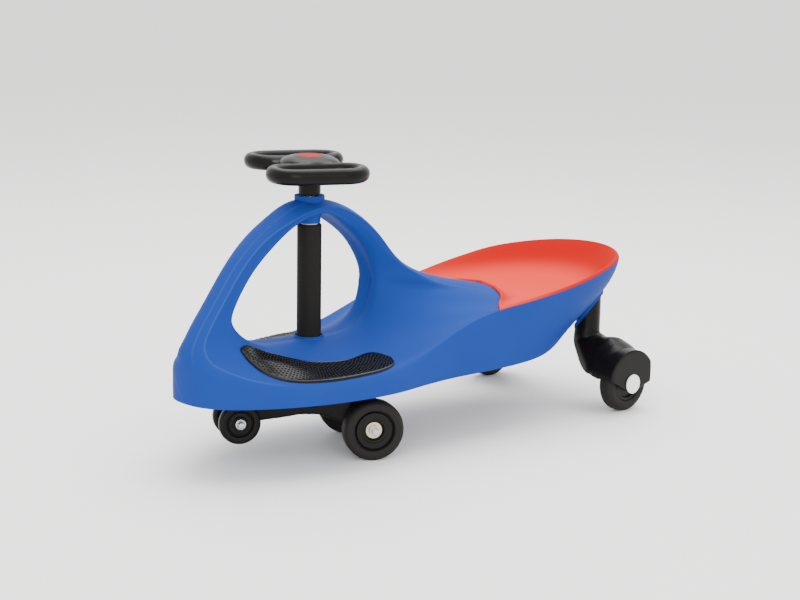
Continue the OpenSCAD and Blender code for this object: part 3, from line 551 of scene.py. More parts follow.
def catmull(a: Points, b: Points, c: Points, d: Points, t: Points) -> Points:
    """A Catmull-Rom curve from b to c, with a before and d after them."""
    square, cube = 2 * a - 5 * b + 4 * c - d, 3 * b - a - 3 * c + d
    return 0.5 * (2 * b + (c - a) * t + square * t ** 2 + cube * t ** 3)


def bent(start: Points, corner: Points, end: Points, t: Points) -> Points:
    """A curve from start to end that leans towards a corner."""
    return (1 - t) ** 2 * start + 2 * t * (1 - t) * corner + t * t * end


def unit(way: Points) -> Points:
    """A direction at length 1."""
    return way / max(np.linalg.norm(way), 1e-6)


def lengths(line: Points) -> Points:
    """How far each point lies along a line of points."""
    return np.concatenate([[0], np.cumsum(np.linalg.norm(np.diff(line, axis=0), axis=1))])


def step_up(low: float, high: float, value: Points | float) -> Points | float:
    """A smooth step from 0 at low to 1 at high."""
    t = np.clip((value - low) / (high - low), 0, 1)
    return t * t * (3 - 2 * t)


def band(span: tuple[float, float, float, float], value: Points | float) -> Points | float:
    """1 between the middle two values of a span, fading to 0 at its first and its last."""
    return step_up(span[0], span[1], value) * (1 - step_up(span[2], span[3], value))


@dataclass
class BodyLoft:
    """The left half of the body as curves along its ribs, in millimetres from the steering axis.

    Each rib holds the edge of the leg opening's lining, a point on the flank, a point on the belt line and
    its end on the ridge or on the skirt's lower edge.
    """

    dash: list = field(default_factory=lambda: [
        [[22, 108, 215], [50, 200, 203], [38, 310, 186], [0, 318, 188]],
        [[21, 107, 222], [45, 166, 217], [40, 244, 195], [0, 248, 204]],
        [[20, 104, 234], [41, 145, 232], [40, 193, 209], [0, 198, 219]],
        [[19, 96, 250], [37, 122, 246], [39, 151, 229], [0, 156, 239]],
        [[18, 80, 273], [32, 99, 267], [37, 120, 254], [0, 126, 264]],
        [[18, 58, 293], [29, 73, 293], [35, 91, 289], [0, 97, 298]],
        [[23, 30, 312], [28, 36, 317], [33, 46, 322], [0, 49, 330]]])
    arch: list = field(default_factory=lambda: [
        [[27, 0, 325], [29, 0, 329], [31, 0, 333], [0, 0, 340]],
        [[20, -38, 311.5], [23, -40, 315.5], [27, -43, 320], [0, -45, 332]],
        [[17.5, -74, 286], [19, -80, 291], [21, -88, 298], [0, -92, 301]],
        [[17, -112, 252], [18, -117, 257], [19, -125, 264], [0, -130, 267]],
        [[17, -141, 207], [18, -149, 211], [19, -160, 217], [0, -165, 220]],
        [[19, -141, 191], [20, -158, 192], [20, -179, 191], [0, -185, 193]],
        [[22, -134, 180], [24, -158, 177], [22, -190, 170], [0, -204, 165]]])
    nose: list = field(default_factory=lambda: [
        [[25, -124, 171], [32, -152, 165], [32, -188, 153], [0, -206.4, 140]],
        [[27, -112, 165], [41, -142, 158], [44, -181, 146], [0, -206, 96]],
        [[27, -100, 161], [50, -126, 152], [57, -171, 140], [40, -195, 95]]])
    side: list = field(default_factory=lambda: [
        [[26, -86, 157], [58, -106, 148], [75, -153, 132], [72, -161, 95]],
        [[24, -66, 155], [68, -80, 141], [97, -114, 124], [98, -116, 95]],
        [[22, -40, 154], [76, -47, 136], [114, -63, 122], [117, -64, 95]],
        [[22, -8, 153], [80, -8, 135], [125, -8, 124], [128, -8, 95]],
        [[22, 26, 153], [82, 33, 135], [126, 44, 127], [130, 46, 95]],
        [[22, 54, 155], [82, 75, 138], [119, 98, 135], [122, 98, 95]],
        [[22, 76, 161], [80, 110, 145], [114, 150, 152], [117, 152, 95]],
        [[22, 92, 174], [78, 140, 158], [114, 195, 167], [118, 196, 95]],
        [[22, 101, 189], [72, 164, 175], [115, 243, 176], [119, 244, 95]]])
    # Ribs that end on the seat's edge: lining, flank, edge of the pommel
    pommel: list = field(default_factory=lambda: [
        [[22, 105, 201], [64, 181, 187], [92, 264, 178]],
        [[22, 107, 209], [57, 194, 197], [70, 292, 182]]])
    # Ribs under the seat: rim, lower edge
    rim: list = field(default_factory=lambda: [
        [[122, 299, 182], [114, 308, 95]],
        [[128, 355, 190], [100, 360, 97]],
        [[127, 409, 198], [82, 405, 106]],
        [[118, 460, 207], [62, 448, 118]],
        [[98, 509, 212], [44, 484, 130]],
        [[69, 541, 216], [25, 506, 141]],
        [[36, 560, 218], [10, 515, 147]],
        [[0, 566, 219], [0, 517, 148]]])
    wall: float = 3.2
    fine: int = 12
    ease: float = 0.32
    deck_cols: int = 38
    edge_cols: int = 6
    wall_cols: int = 40
    seat_mid_y: float = 380
    bulge: float = 0.06
    stern_bulge: float = 0.2
    shoulder: float = 14.0
    panel_rise: float = 1.1
    bead_rise: float = 0.5
    crisp_edge: float = 1.6
    soft_edge: float = 9.0
    # Ribs between which a feature comes in and goes out again
    soft_span: tuple = (16.5, 19.5, 20.5, 23.5)
    edge_span: tuple = (0, 1.5, 23.5, 25)
    panel_span: tuple = (6.5, 8.0, 12.0, 14.2)
    bead_span: tuple = (7.5, 9.0, 17.0, 19.0)
    # The same for the upright nose, counted from the nose's tip
    nose_span: tuple = (-2.8, -1.4, 2.0, 4.5)
    skin: Points | None = None

    def __post_init__(self) -> None:
        """Sample every curve along the ribs."""
        common = self.dash + self.arch + self.nose + self.side
        self.common_n = len(common)
        self.nose_tip = len(self.dash) + len(self.arch) + 1
        self.common_rows = (self.common_n - 1) * self.fine
        loop = common + self.pommel
        self.lining = self.eased_curve([r[0] for r in loop], closed=True)
        self.flank = self.eased_curve([r[1] for r in loop], closed=True)
        self.belt = self.eased_curve([r[2] for r in common] + [r[0] for r in self.rim], tail_mirror=True)
        ridge = [r[3] for r in common[:self.nose_tip + 1]]
        hem = [r[3] for r in common[self.nose_tip:]] + [r[1] for r in self.rim]
        self.ends = np.vstack([self.eased_curve(ridge)[:-1],
                               self.eased_curve(hem, head_mirror=True, tail_mirror=True)])
        self.pommel_edge = self.eased_curve([common[-1][2]] + [r[2] for r in self.pommel] + [common[0][2]])

    def eased_curve(self, knots: list, closed: bool = False, head_mirror: bool = False,
                    tail_mirror: bool = False) -> Points:
        """A Catmull-Rom curve through knots, with its small waves eased out.

        Args:
            knots: points of the ribs.
            closed: whether the last point leads back to the first.
            head_mirror: whether the curve crosses the middle plane at its start.
            tail_mirror: whether it crosses the middle plane at its end.

        Returns:
            Samples, self.fine for each span.
        """
        pts = np.array(knots, float)
        if closed:
            ext = np.vstack([pts[-3:], pts, pts[:4]])
        else:
            head = (pts[3:0:-1] * MIRROR if head_mirror
                    else 2 * pts[0] - pts[np.minimum([3, 2, 1], len(pts) - 1)])
            tail = (pts[-2:-6:-1] * MIRROR if tail_mirror
                    else 2 * pts[-1] - pts[np.maximum([-2, -3, -4, -4], -len(pts))])
            ext = np.vstack([head, pts, tail])
        t = (np.arange(self.fine) / self.fine)[:, None]
        spans = [catmull(ext[k - 1], ext[k], ext[k + 1], ext[k + 2], t) for k in range(1, len(ext) - 2)]
        line = np.vstack(spans)
        width = self.ease * self.fine
        taps = np.arange(-int(3 * width), int(3 * width) + 1)
        weight = np.exp(-0.5 * (taps / width) ** 2)
        weight /= weight.sum()
        soft = np.stack([np.convolve(line[:, i], weight, mode="same") for i in range(3)], 1)
        start = 2 * self.fine
        count = len(pts) * self.fine if closed else (len(pts) - 1) * self.fine + 1
        out = soft[start:start + count]
        if not closed:
            raw = line[start:start + count]
            fade = 1 - step_up(0, self.fine, np.arange(count))
            near = (not head_mirror) * fade + (not tail_mirror) * fade[::-1]
            near = np.clip(near, 0, 1)[:, None]
            out = raw * near + out * (1 - near)
        return out

    def deck_edge(self) -> Points:
        """The outer edge of the deck all round: the belt line, then the pommel's edge."""
        return np.vstack([self.belt[:self.common_rows + 1], self.pommel_edge[1:-1]])

    def deck_line(self, hole: Points, mid: Points, edge: Points, count: int) -> Points:
        """One rib of the deck from the lining's middle to its outer edge, as evenly spaced points.

        Args:
            hole: edge of the lining.
            mid: point on the flank.
            edge: outer point.
            count: how many points.

        Returns:
            The points.
        """
        centre = hole * np.array([0.0, 1.0, 1.0])
        t = np.linspace(0, 1, 24)[:, None]
        line = np.vstack([catmull(hole * MIRROR, centre, hole, mid, t)[:-1],
                          catmull(centre, hole, mid, edge, t)[:-1],
                          catmull(hole, mid, edge, 2 * edge - mid, t)])
        return self.spaced(line, count)

    @staticmethod
    def spaced(line: Points, count: int, start: float = 0.0, end: float = 0.0) -> Points:
        """Points evenly spaced along a line, leaving out a length at its start and its end."""
        reach = lengths(line)
        want = np.linspace(min(start, 0.45 * reach[-1]), reach[-1] - min(end, 0.45 * reach[-1]), count)
        return np.stack([np.interp(want, reach, line[:, i]) for i in range(3)], 1)

    def skin_rows(self, cols: int = 120) -> Points:
        """The deck's skin with its rounded edge: rows of points from the lining's edge to the belt line."""
        share = np.linspace(1, 3, cols + 1)[:, None]
        rows = []
        for i in range(self.common_rows + 1):
            hole, mid, edge = self.lining[i], self.flank[i], self.belt[i]
            centre = hole * np.array([0.0, 1.0, 1.0])
            line = np.where(share < 2, catmull(centre, hole, mid, edge, share - 1),
                            catmull(hole, mid, edge, 2 * edge - mid, share - 2))
            reach = lengths(line)
            left = reach[-1] - reach
            soft = self.edge_round(i)
            start = self.spaced(line, 2, 0, soft)[-1]
            t = np.clip(0.5 - 0.5 * left / max(soft, 1e-6), 0, 0.5)[:, None]
            curve = bent(start, edge, self.wall_line(i, 4)[0], t)
            rows.append(np.where(left[:, None] < soft, curve, line))
        return np.array(rows)

    def deck_point(self, rib: float, col: float) -> Points:
        """A point of the deck's skin: col 1 is the lining's edge, 2 the flank line and 3 the belt line."""
        if self.skin is None:
            self.skin = self.skin_rows()
        u = np.clip(rib * self.fine, 0, self.skin.shape[0] - 1.001)
        v = np.clip((col - 1) / 2 * (self.skin.shape[1] - 1), 0, self.skin.shape[1] - 1.001)
        i, j = int(u), int(v)
        low = self.skin[i, j] * (j + 1 - v) + self.skin[i, j + 1] * (v - j)
        high = self.skin[i + 1, j] * (j + 1 - v) + self.skin[i + 1, j + 1] * (v - j)
        return low * (i + 1 - u) + high * (u - i)

    def deck_up(self, rib: float, col: float) -> Points:
        """The deck's upward direction at a point."""
        across = self.deck_point(rib, col + 0.15) - self.deck_point(rib, col - 0.15)
        ahead = self.deck_point(rib + 0.5, col) - self.deck_point(rib - 0.5, col)
        up = np.cross(across, ahead)
        return up / np.linalg.norm(up) * (1 if up[2] > 0 else -1)

    def edge_round(self, row: Points | float) -> Points | float:
        """How far the belt line's edge is rounded at a row: crisp on the arch, soft beside the feet."""
        rib = row / self.fine
        return (self.crisp_edge + self.soft_edge * band(self.soft_span, rib)) * band(self.edge_span, rib)

    def wall_line(self, row: int, count: int) -> Points:
        """One rib of the wall, from the belt line to the ridge or the skirt's lower edge."""
        edge, end = self.belt[row], self.ends[row]
        rib = row / self.fine
        mid = (edge + end) / 2
        out = unit(np.array([mid[0], max(0.0, mid[1] - self.seat_mid_y), 0.0]))
        fill = self.bulge + self.stern_bulge * step_up(self.common_n + 1, self.common_n + 4.5, rib)
        bulged = mid + out * fill * np.linalg.norm(edge - end)
        crowned = np.array([mid[0], end[1], end[2]])
        share = step_up(self.nose_tip - 0.5, self.nose_tip + 2.0, rib)
        t = np.linspace(0, 1, 40)[:, None]
        line = bent(edge, crowned * (1 - share) + bulged * share, end, t)
        nose = band(self.nose_span, rib - self.nose_tip)
        line = line * (1 - nose) + self.nose_line(edge, end, t) * nose
        line = self.spaced(line, count, self.edge_round(row) if row <= self.common_rows else 0)
        panel = step_up(0.5, 0.56, np.linspace(0, 1, count))[:, None]
        return line + unit(crowned - mid) * panel * band(self.panel_span, rib) * self.panel_rise

    def nose_line(self, edge: Points, end: Points, t: Points) -> Points:
        """One rib of the upright nose wall, which follows the plan of the skirt's lower edge.

        Args:
            edge: point on the belt line.
            end: point on the ridge or the lower edge.
            t: shares of the way from edge to end, as a column.

        Returns:
            Points that turn out over a rounded shoulder and then run on the upright wall.
        """
        hem = self.ends[self.nose_tip * self.fine:(self.nose_tip + 6) * self.fine]
        out = edge + (end - edge) * t
        plan = np.interp(out[:, 0], hem[:, 0], hem[:, 1])
        lean = end[1] - np.interp(end[0], hem[:, 0], hem[:, 1])
        start = edge[1] - np.interp(edge[0], hem[:, 0], hem[:, 1]) - lean
        turn = min(1.0, self.shoulder / max(edge[2] - end[2], 1e-6))
        round_off = 1 - np.sqrt(np.clip(1 - (1 - np.minimum(t[:, 0] / turn, 1)) ** 2, 0, 1))
        out[:, 1] = plan + lean + start * round_off
        return out

    def bead(self, row: int, across: Points) -> Points:
        """How the fine bead on the belt line stands out of the skin at a row."""
        high = self.bead_rise * band(self.bead_span, row / self.fine)
        ahead = self.belt[min(row + 1, self.common_rows)] - self.belt[max(row - 1, 0)]
        out = unit(np.cross(ahead, across))
        return out * high * (1 if out @ np.array([1.0, -0.5, 1.0]) > 0 else -1)

    def half(self) -> tuple[Points, list]:
        """Points and faces of the left half of the outer skin."""
        rows = self.common_rows + 1
        points: list = []

        def kept(line: Points) -> list[int]:
            """Add a row of points and give their numbers."""
            points.extend(line)
            return list(range(len(points) - len(line), len(points)))

        deck = []
        for i, edge in enumerate(self.deck_edge()):
            full = self.deck_line(self.lining[i], self.flank[i], edge, 120)
            deck.append(kept(self.spaced(full, self.deck_cols, 0, self.edge_round(i) if i < rows else 0)))
        wall = [kept(self.wall_line(i, self.wall_cols)) for i in range(len(self.ends))]
        seam = []
        t = (np.arange(1, self.edge_cols) / self.edge_cols)[:, None]
        for i in range(rows):
            a, c = points[deck[i][-1]], points[wall[i][0]]
            line = bent(a, self.belt[i], c, t) + np.sin(np.pi * t) ** 2 * self.bead(i, c - a)
            seam.append([deck[i][-1], *kept(line), wall[i][0]])
        faces = []
        for sheet in (deck + deck[:1], wall, seam):
            for here, there in zip(sheet, sheet[1:]):
                faces += self.strip(here, there)
        out = np.array(points)
        out[:, 0] = np.maximum(out[:, 0], 0)
        return out, faces

    @staticmethod
    def strip(here: list, there: list) -> list:
        """Faces between two rows of point numbers."""
        return [[here[k], there[k], there[k + 1], here[k + 1]] for k in range(len(here) - 1)]


@dataclass
class MouldedBody:
    """The blue body: smooth shell, column collar, deck boss, stern sockets and the ribs underneath."""

    loft: BodyLoft
    finishes: Finishes
    shaft_hole: float = 13.2
    collar_r: float = 19.4
    flange: float = 2.0
    deck_boss_r: float = 23
    deck_boss_top: float = 157
    deck_boss_low: float = 94
    # Leg posts and the sockets round them: place, radii, feet, and how far outside the wall they are cut
    post_x: float = 66
    post_y: float = 483
    post_bore: float = 0.5
    post_r: float = 17.55
    post_foot: float = 130
    post_in: float = -1.5
    socket_bore: float = 17.7
    socket_r: float = 20.5
    socket_foot: float = 110
    socket_lip: float = 3.0
    socket_in: float = -2.0
    stern_top: float = 200
    gussets: int = 8
    # Seat beams: place along the car and half width of each, then what they share
    beams: tuple = ((355, 90), (409, 75))
    beam_low: float = 112
    beam_t: float = 4
    beam_w: float = 34
    # Painted highlight along the creases: its width, its strength, and the panel crease's share of it
    crease_highlight_mm: float = 1.1
    crease_highlight_share: float = 0.2
    crease_share: float = 0.7
    # Samples of a wall line, and the one of them on the panel's crease
    crease_of: tuple = (60, 31)
    # Ribs between which the belt line and the panel's crease get a painted highlight
    belt_span: tuple = (7.2, 8.5, 17.0, 18.8)
    crease_span: tuple = (7.2, 8.5, 12.5, 14.4)

    def build(self) -> None:
        """Build and dress the body's pieces."""
        dress(self.shell(), self.finishes.shell, Body.CHASSIS, Slot.SHELL, "body_shell")
        blue = [self.collar(), self.deck_boss()]
        blue += self.stern_rounds("stern_socket", self.socket_bore, self.socket_r, self.socket_foot,
                                  ((-1, self.socket_lip), (1, self.socket_in)))
        blue.append(self.under_ribs())
        for piece in blue:
            dress(piece, self.finishes.shell, Body.CHASSIS, Slot.SHELL)
        for piece in self.stern_rounds("leg_post_top", self.post_bore, self.post_r, self.post_foot,
                                       ((1, self.post_in),)):
            dress(piece, self.finishes.black, Body.CHASSIS, Slot.BLACK)

    def shell(self) -> bpy.types.Object:
        """The lofted shell, mirrored, pierced for the column and given its wall."""
        half, faces = self.loft.half()
        count = len(half)
        both = np.vstack([half, half * MIRROR])
        all_faces = faces + [[k + count for k in reversed(f)] for f in faces]
        kept = [f for f in all_faces if math.hypot(*both[f[0]][:2]) > self.shaft_hole]
        piece = mesh_piece("body_moulding", to_row(both), kept)
        self.face_out(piece)
        solid = piece.modifiers.new("wall", "SOLIDIFY")
        solid.thickness = self.loft.wall * MM
        solid.offset = -1
        solid.use_rim = True
        apply_modifiers(piece)
        # Painted highlight along the arch's and the nose's creases
        self.paint_crease_highlight(piece)
        return shade(piece, 50)

    def paint_crease_highlight(self, piece: bpy.types.Object) -> None:
        """Paint a highlight along the crease lines of the arch and the nose, where the skin is painted
        lighter.
        """
        loft = self.loft
        spots = []
        for row in range(int(self.belt_span[0]) * loft.fine, math.ceil(self.belt_span[3]) * loft.fine):
            rib = row / loft.fine
            spots.append((loft.belt[row], band(self.belt_span, rib)))
            crease = loft.wall_line(row, self.crease_of[0])[self.crease_of[1]]
            spots.append((crease, self.crease_share * band(self.crease_span, rib)))
        tree = KDTree(2 * len(spots))
        for k, (place, _) in enumerate(spots):
            tree.insert(Vector(to_row(place)), k)
            tree.insert(Vector(to_row(place * MIRROR)), k + len(spots))
        tree.balance()
        values = []
        for vertex in piece.data.vertices:
            _, k, gap = tree.find(vertex.co)
            near = math.exp(-(gap / (self.crease_highlight_mm * MM)) ** 2)
            values.append(self.crease_highlight_share * spots[k % len(spots)][1] * near)
        piece.data.attributes.new(PAINTED_HIGHLIGHT, "FLOAT", "POINT").data.foreach_set("value", values)

    @staticmethod
    def face_out(piece: bpy.types.Object) -> None:
        """Turn the open skin's faces so that the skirt looks away from the middle."""
        mesh = piece.data
        low = min(mesh.polygons, key=lambda p: p.center.z - abs(p.center.x))
        if low.normal.x * low.center.x < 0:
            mesh.flip_normals()

    def collar(self) -> bpy.types.Object:
        """The collar over the arch's crown, its lip round the bush's flange, and the cone under the crown."""
        r = self.collar_r
        low, high = (corner.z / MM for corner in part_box("upper_bush"))
        under, top = low + self.flange, high - self.flange
        foot = under - 1.7
        outline = [(self.shaft_hole, foot, 0.2), (14.4, foot, 0.6), (15.2, under + 8), (r + 1, under + 16),
                   (r + 1, under + 20), (r + 0.6, under + 22), (r + 0.6, top + 0.5, 0.6),
                   (15.4, top + 0.5, 0.3), (15.4, top - 3), (self.shaft_hole, top - 3)]
        return turned("column_collar", outline, COLUMN_FOOT, UPRIGHT)

    def deck_boss(self) -> bpy.types.Object:
        """The boss that carries the lower bush, with a soft foot where it meets the deck."""
        r = self.deck_boss_r
        low, top = self.deck_boss_low, self.deck_boss_top
        outline = [(self.shaft_hole, low, 0.5), (r, low, 1), (r, top - 8), (r - 0.5, top - 4.1, 2.5),
                   (r - 3.2, top - 3, 1.6), (r - 3.4, top, 0.9), (18.2, top, 0.6), (18.2, top - 5),
                   (self.shaft_hole, top - 5)]
        return turned("deck_boss", outline, COLUMN_FOOT, UPRIGHT)

    def stern_rounds(self, kind: str, bore: float, r: float, low: float,
                     cuts: tuple[tuple[int, float], ...]) -> list[bpy.types.Object]:
        """A round piece about each leg's post, cut along the slope of the bowl's wall.

        Args:
            kind: the pieces' name without its side.
            bore: inner radius.
            r: outer radius.
            low: height of the foot before it is cut.
            cuts: the side to keep and the lip of each cut, as slant() takes them.

        Returns:
            The left and the right piece.
        """
        out = []
        for side, name in SIDES:
            at = tuple(to_row([side * self.post_x, self.post_y, 0]))
            outline = [(bore, low), (r, low), (r, self.stern_top), (bore, self.stern_top)]
            piece = turned(f"{kind}_{name}", outline, at, UPRIGHT, 64)
            for keep, lip in cuts:
                self.slant(piece, side, keep, lip)
            out.append(piece)
        return out

    def slant(self, piece: bpy.types.Object, side: int, keep: int, lip: float) -> None:
        """Cut a round piece along the slope of the bowl's wall.

        Args:
            piece: the round piece.
            side: 1 on the left, -1 on the right.
            keep: -1 drops what lies outside the wall, 1 what lies inside it.
            lip: how far outside the wall the cut runs, in millimetres.
        """
        loft = self.loft
        place = np.array([self.post_x, self.post_y])
        row = min(range(loft.common_rows, len(loft.ends)), key=lambda i: np.linalg.norm(
            loft.wall_line(i, 9)[4][:2] - place))
        line = loft.wall_line(row, 9)
        slope = line[2] - line[6]
        ahead = loft.wall_line(min(row + 3, len(loft.ends) - 1), 9)[4] - loft.wall_line(row - 3, 9)[4]
        out = unit(np.cross(ahead, slope))
        out = out * (1 if out[2] < 0 else -1)
        centre = (line[4] + out * lip) * np.array([side, 1, 1])
        normal = Vector(out * np.array([side, 1, 1])) * (-keep)
        with edited(piece.data) as made:
            cut = bmesh.ops.bisect_plane(made, geom=made.verts[:] + made.edges[:] + made.faces[:],
                                         plane_co=Vector(to_row(centre)), plane_no=normal, clear_outer=True)
            rim = [e for e in cut["geom_cut"] if isinstance(e, bmesh.types.BMEdge)]
            bmesh.ops.bridge_loops(made, edges=rim)
            bmesh.ops.recalc_face_normals(made, faces=made.faces)
        shade(piece, 38)

    def under_ribs(self) -> bpy.types.Object:
        """Gussets round the deck boss, set out by a node tree, with the two seat beams."""
        tree, given, inputs = open_tree("gusset_ring", {"Gussets": "NodeSocketInt",
                                                        "Ring radius": "NodeSocketFloat"})
        ring = add(tree, "GeometryNodeMeshCircle", {"Vertices": given.outputs["Gussets"],
                                                    "Radius": given.outputs["Ring radius"]})
        place = add(tree, "GeometryNodeInputPosition")
        turn = add(tree, "FunctionNodeAlignRotationToVector", {"Vector": place.outputs[0]}, axis="X")
        set_out(tree, self.finishes.shell, {"Points": ring.outputs[0], "Instance": given.outputs[0],
                                            "Rotation": turn.outputs[0]})
        gusset = self.gusset()
        ring_mod = gusset.modifiers.new("ring", "NODES")
        ring_mod.node_group = tree
        ring_mod[inputs["Gussets"]] = self.gussets
        ring_mod[inputs["Ring radius"]] = (self.deck_boss_r - 1) * MM
        apply_modifiers(gusset)
        gusset.data.transform(Matrix.Translation(COLUMN_FOOT))
        with edited(gusset.data) as made:
            for y, half_width in self.beams:
                low = to_row([-half_width, y - self.beam_w / 2, self.beam_low])
                high = to_row([half_width, y + self.beam_w / 2, self.beam_low + self.beam_t])
                for v in bmesh.ops.create_cube(made, size=1)["verts"]:
                    v.co = Vector([low[i] + (v.co[i] + 0.5) * (high[i] - low[i]) for i in range(3)])
        bevel = gusset.modifiers.new("soft edges", "BEVEL")
        bevel.width = 0.8 * MM
        bevel.segments = 2
        apply_modifiers(gusset)
        return shade(gusset, 40)

    def gusset(self) -> bpy.types.Object:
        """One thin gusset, from the boss out under the deck."""
        side = [(0, 99), (0, 149), (24, 141), (24, 134)]
        points = [(x * MM, s * 1.4 * MM, z * MM) for s in (-1, 1) for x, z in side]
        faces = [[3, 2, 1, 0], [4, 5, 6, 7]] + [[k, (k + 1) % 4, 4 + (k + 1) % 4, 4 + k] for k in range(4)]
        return mesh_piece("under_ribs", np.array(points), faces)


@dataclass
class SeatPan:
    """The red dished seat, its lip resting on the bowl's rim."""

    loft: BodyLoft
    finishes: Finishes
    centre_y: float = 432
    floor_z: float = 166.58
    thick: float = 3.0
    lip: float = 0.955
    level: float = 0.45
    sag_from: float = 0.6
    sag: float = 0.06
    fit: float = 0.5
    rest_gap: float = 0.1
    # Rise over the floor, in millimetres, up to which the seat gets its paler painted sheen, and where that
    # has faded out
    painted_sheen_rise: tuple = (2, 26)
    screw_x: float = 52
    screw_y: tuple = (355, 409)

    def edge(self) -> Points:
        """The seat's edge all round, from the middle of its front."""
        loft = self.loft
        shift = np.array([0, self.fit, 0])
        front = loft.ends[0] + shift
        half = np.vstack([loft.pommel_edge[:0:-1] + shift, loft.belt[loft.common_rows:]])
        return np.vstack([front, half, (half * MIRROR)[-2::-1]])

    def dish(self, share: Points) -> Points:
        """How far the pan has risen from its floor, from 0 to 1 at the lip."""
        rise = np.clip((share - self.level) / (self.lip - self.level), 0, 1) ** 1.5
        sag = np.sin(np.pi * np.clip((share - self.sag_from) / (self.lip - self.sag_from), 0, 1)) ** 2
        return rise - self.sag * sag

    def layer(self, edge: Points, shares: Points, up: float) -> Points:
        """Loops of one face of the pan, from its edge inward."""
        loops = []
        for u in shares:
            loop = edge.copy()
            loop[:, 0] *= u
            loop[:, 1] = self.centre_y + (edge[:, 1] - self.centre_y) * u
            loop[:, 2] = self.floor_z + (edge[:, 2] - self.floor_z) * self.dish(u) + up
            loops.append(loop)
        return np.vstack(loops)

    def build(self) -> None:
        """Build the pan with a rounded lip, and its screw bosses."""
        edge = self.edge()
        n = len(edge)
        # Shares of the way from the middle: loops of the lip, which drop towards its edge, then the dish
        inward = np.linspace(0.93, 0.05, 22)
        shares = np.concatenate([[0.996, 0.993, 0.985, 0.97, self.lip], inward])
        round_lip = np.concatenate([[-2.2, -1.5, -0.7, -0.2, 0], 0 * inward])
        top = self.layer(edge, shares, self.thick + self.rest_gap)
        top[:, 2] += np.repeat(round_lip, n)
        under = np.concatenate([[0.996, 0.97, self.lip], np.linspace(0.93, 0.05, 10)])
        low = self.layer(edge, under, self.rest_gap)
        floor = self.floor_z + self.rest_gap
        points = np.vstack([top, low, [[0, self.centre_y, floor + self.thick], [0, self.centre_y, floor]]])
        base, top_middle, low_middle = len(top), len(points) - 2, len(points) - 1
        last, last_low = base - n, base + len(low) - n
        faces = []
        for i in range(n):
            j = (i + 1) % n
            faces += [[a + i, a + n + i, a + n + j, a + j] for a in range(0, last, n)]
            faces += [[a + i, a + j, a + n + j, a + n + i] for a in range(base, last_low, n)]
            faces += [[last + i, top_middle, last + j], [last_low + i, last_low + j, low_middle],
                      [i, j, base + j, base + i]]
        pan = shade(mesh_piece("seat_dish", to_row(points), faces), 50)
        # Painted sheen: the dish's floor is painted paler, fading out up its walls
        sat_on = (self.floor_z + self.thick) * MM
        painted_highlight = [1 - step_up(*self.painted_sheen_rise, (v.co.z - sat_on) / MM) for v in pan.data.vertices]
        pan.data.attributes.new(PAINTED_HIGHLIGHT, "FLOAT", "POINT").data.foreach_set("value", painted_highlight)
        dress(pan, self.finishes.seat, Body.CHASSIS, Slot.SEAT, "seat_pan")
        screws = [(side * self.screw_x, y) for y in self.screw_y for side, _ in SIDES]
        for k, (x, y) in enumerate(screws):
            boss = turned(f"seat_boss_{k + 1}", [(2.5, 116, 0.3), (7, 116, 0.8), (7.4, 168), (2.5, 168)],
                          tuple(to_row([x, y, 0])), UPRIGHT, 32)
            dress(boss, self.finishes.seat, Body.CHASSIS, Slot.SEAT)


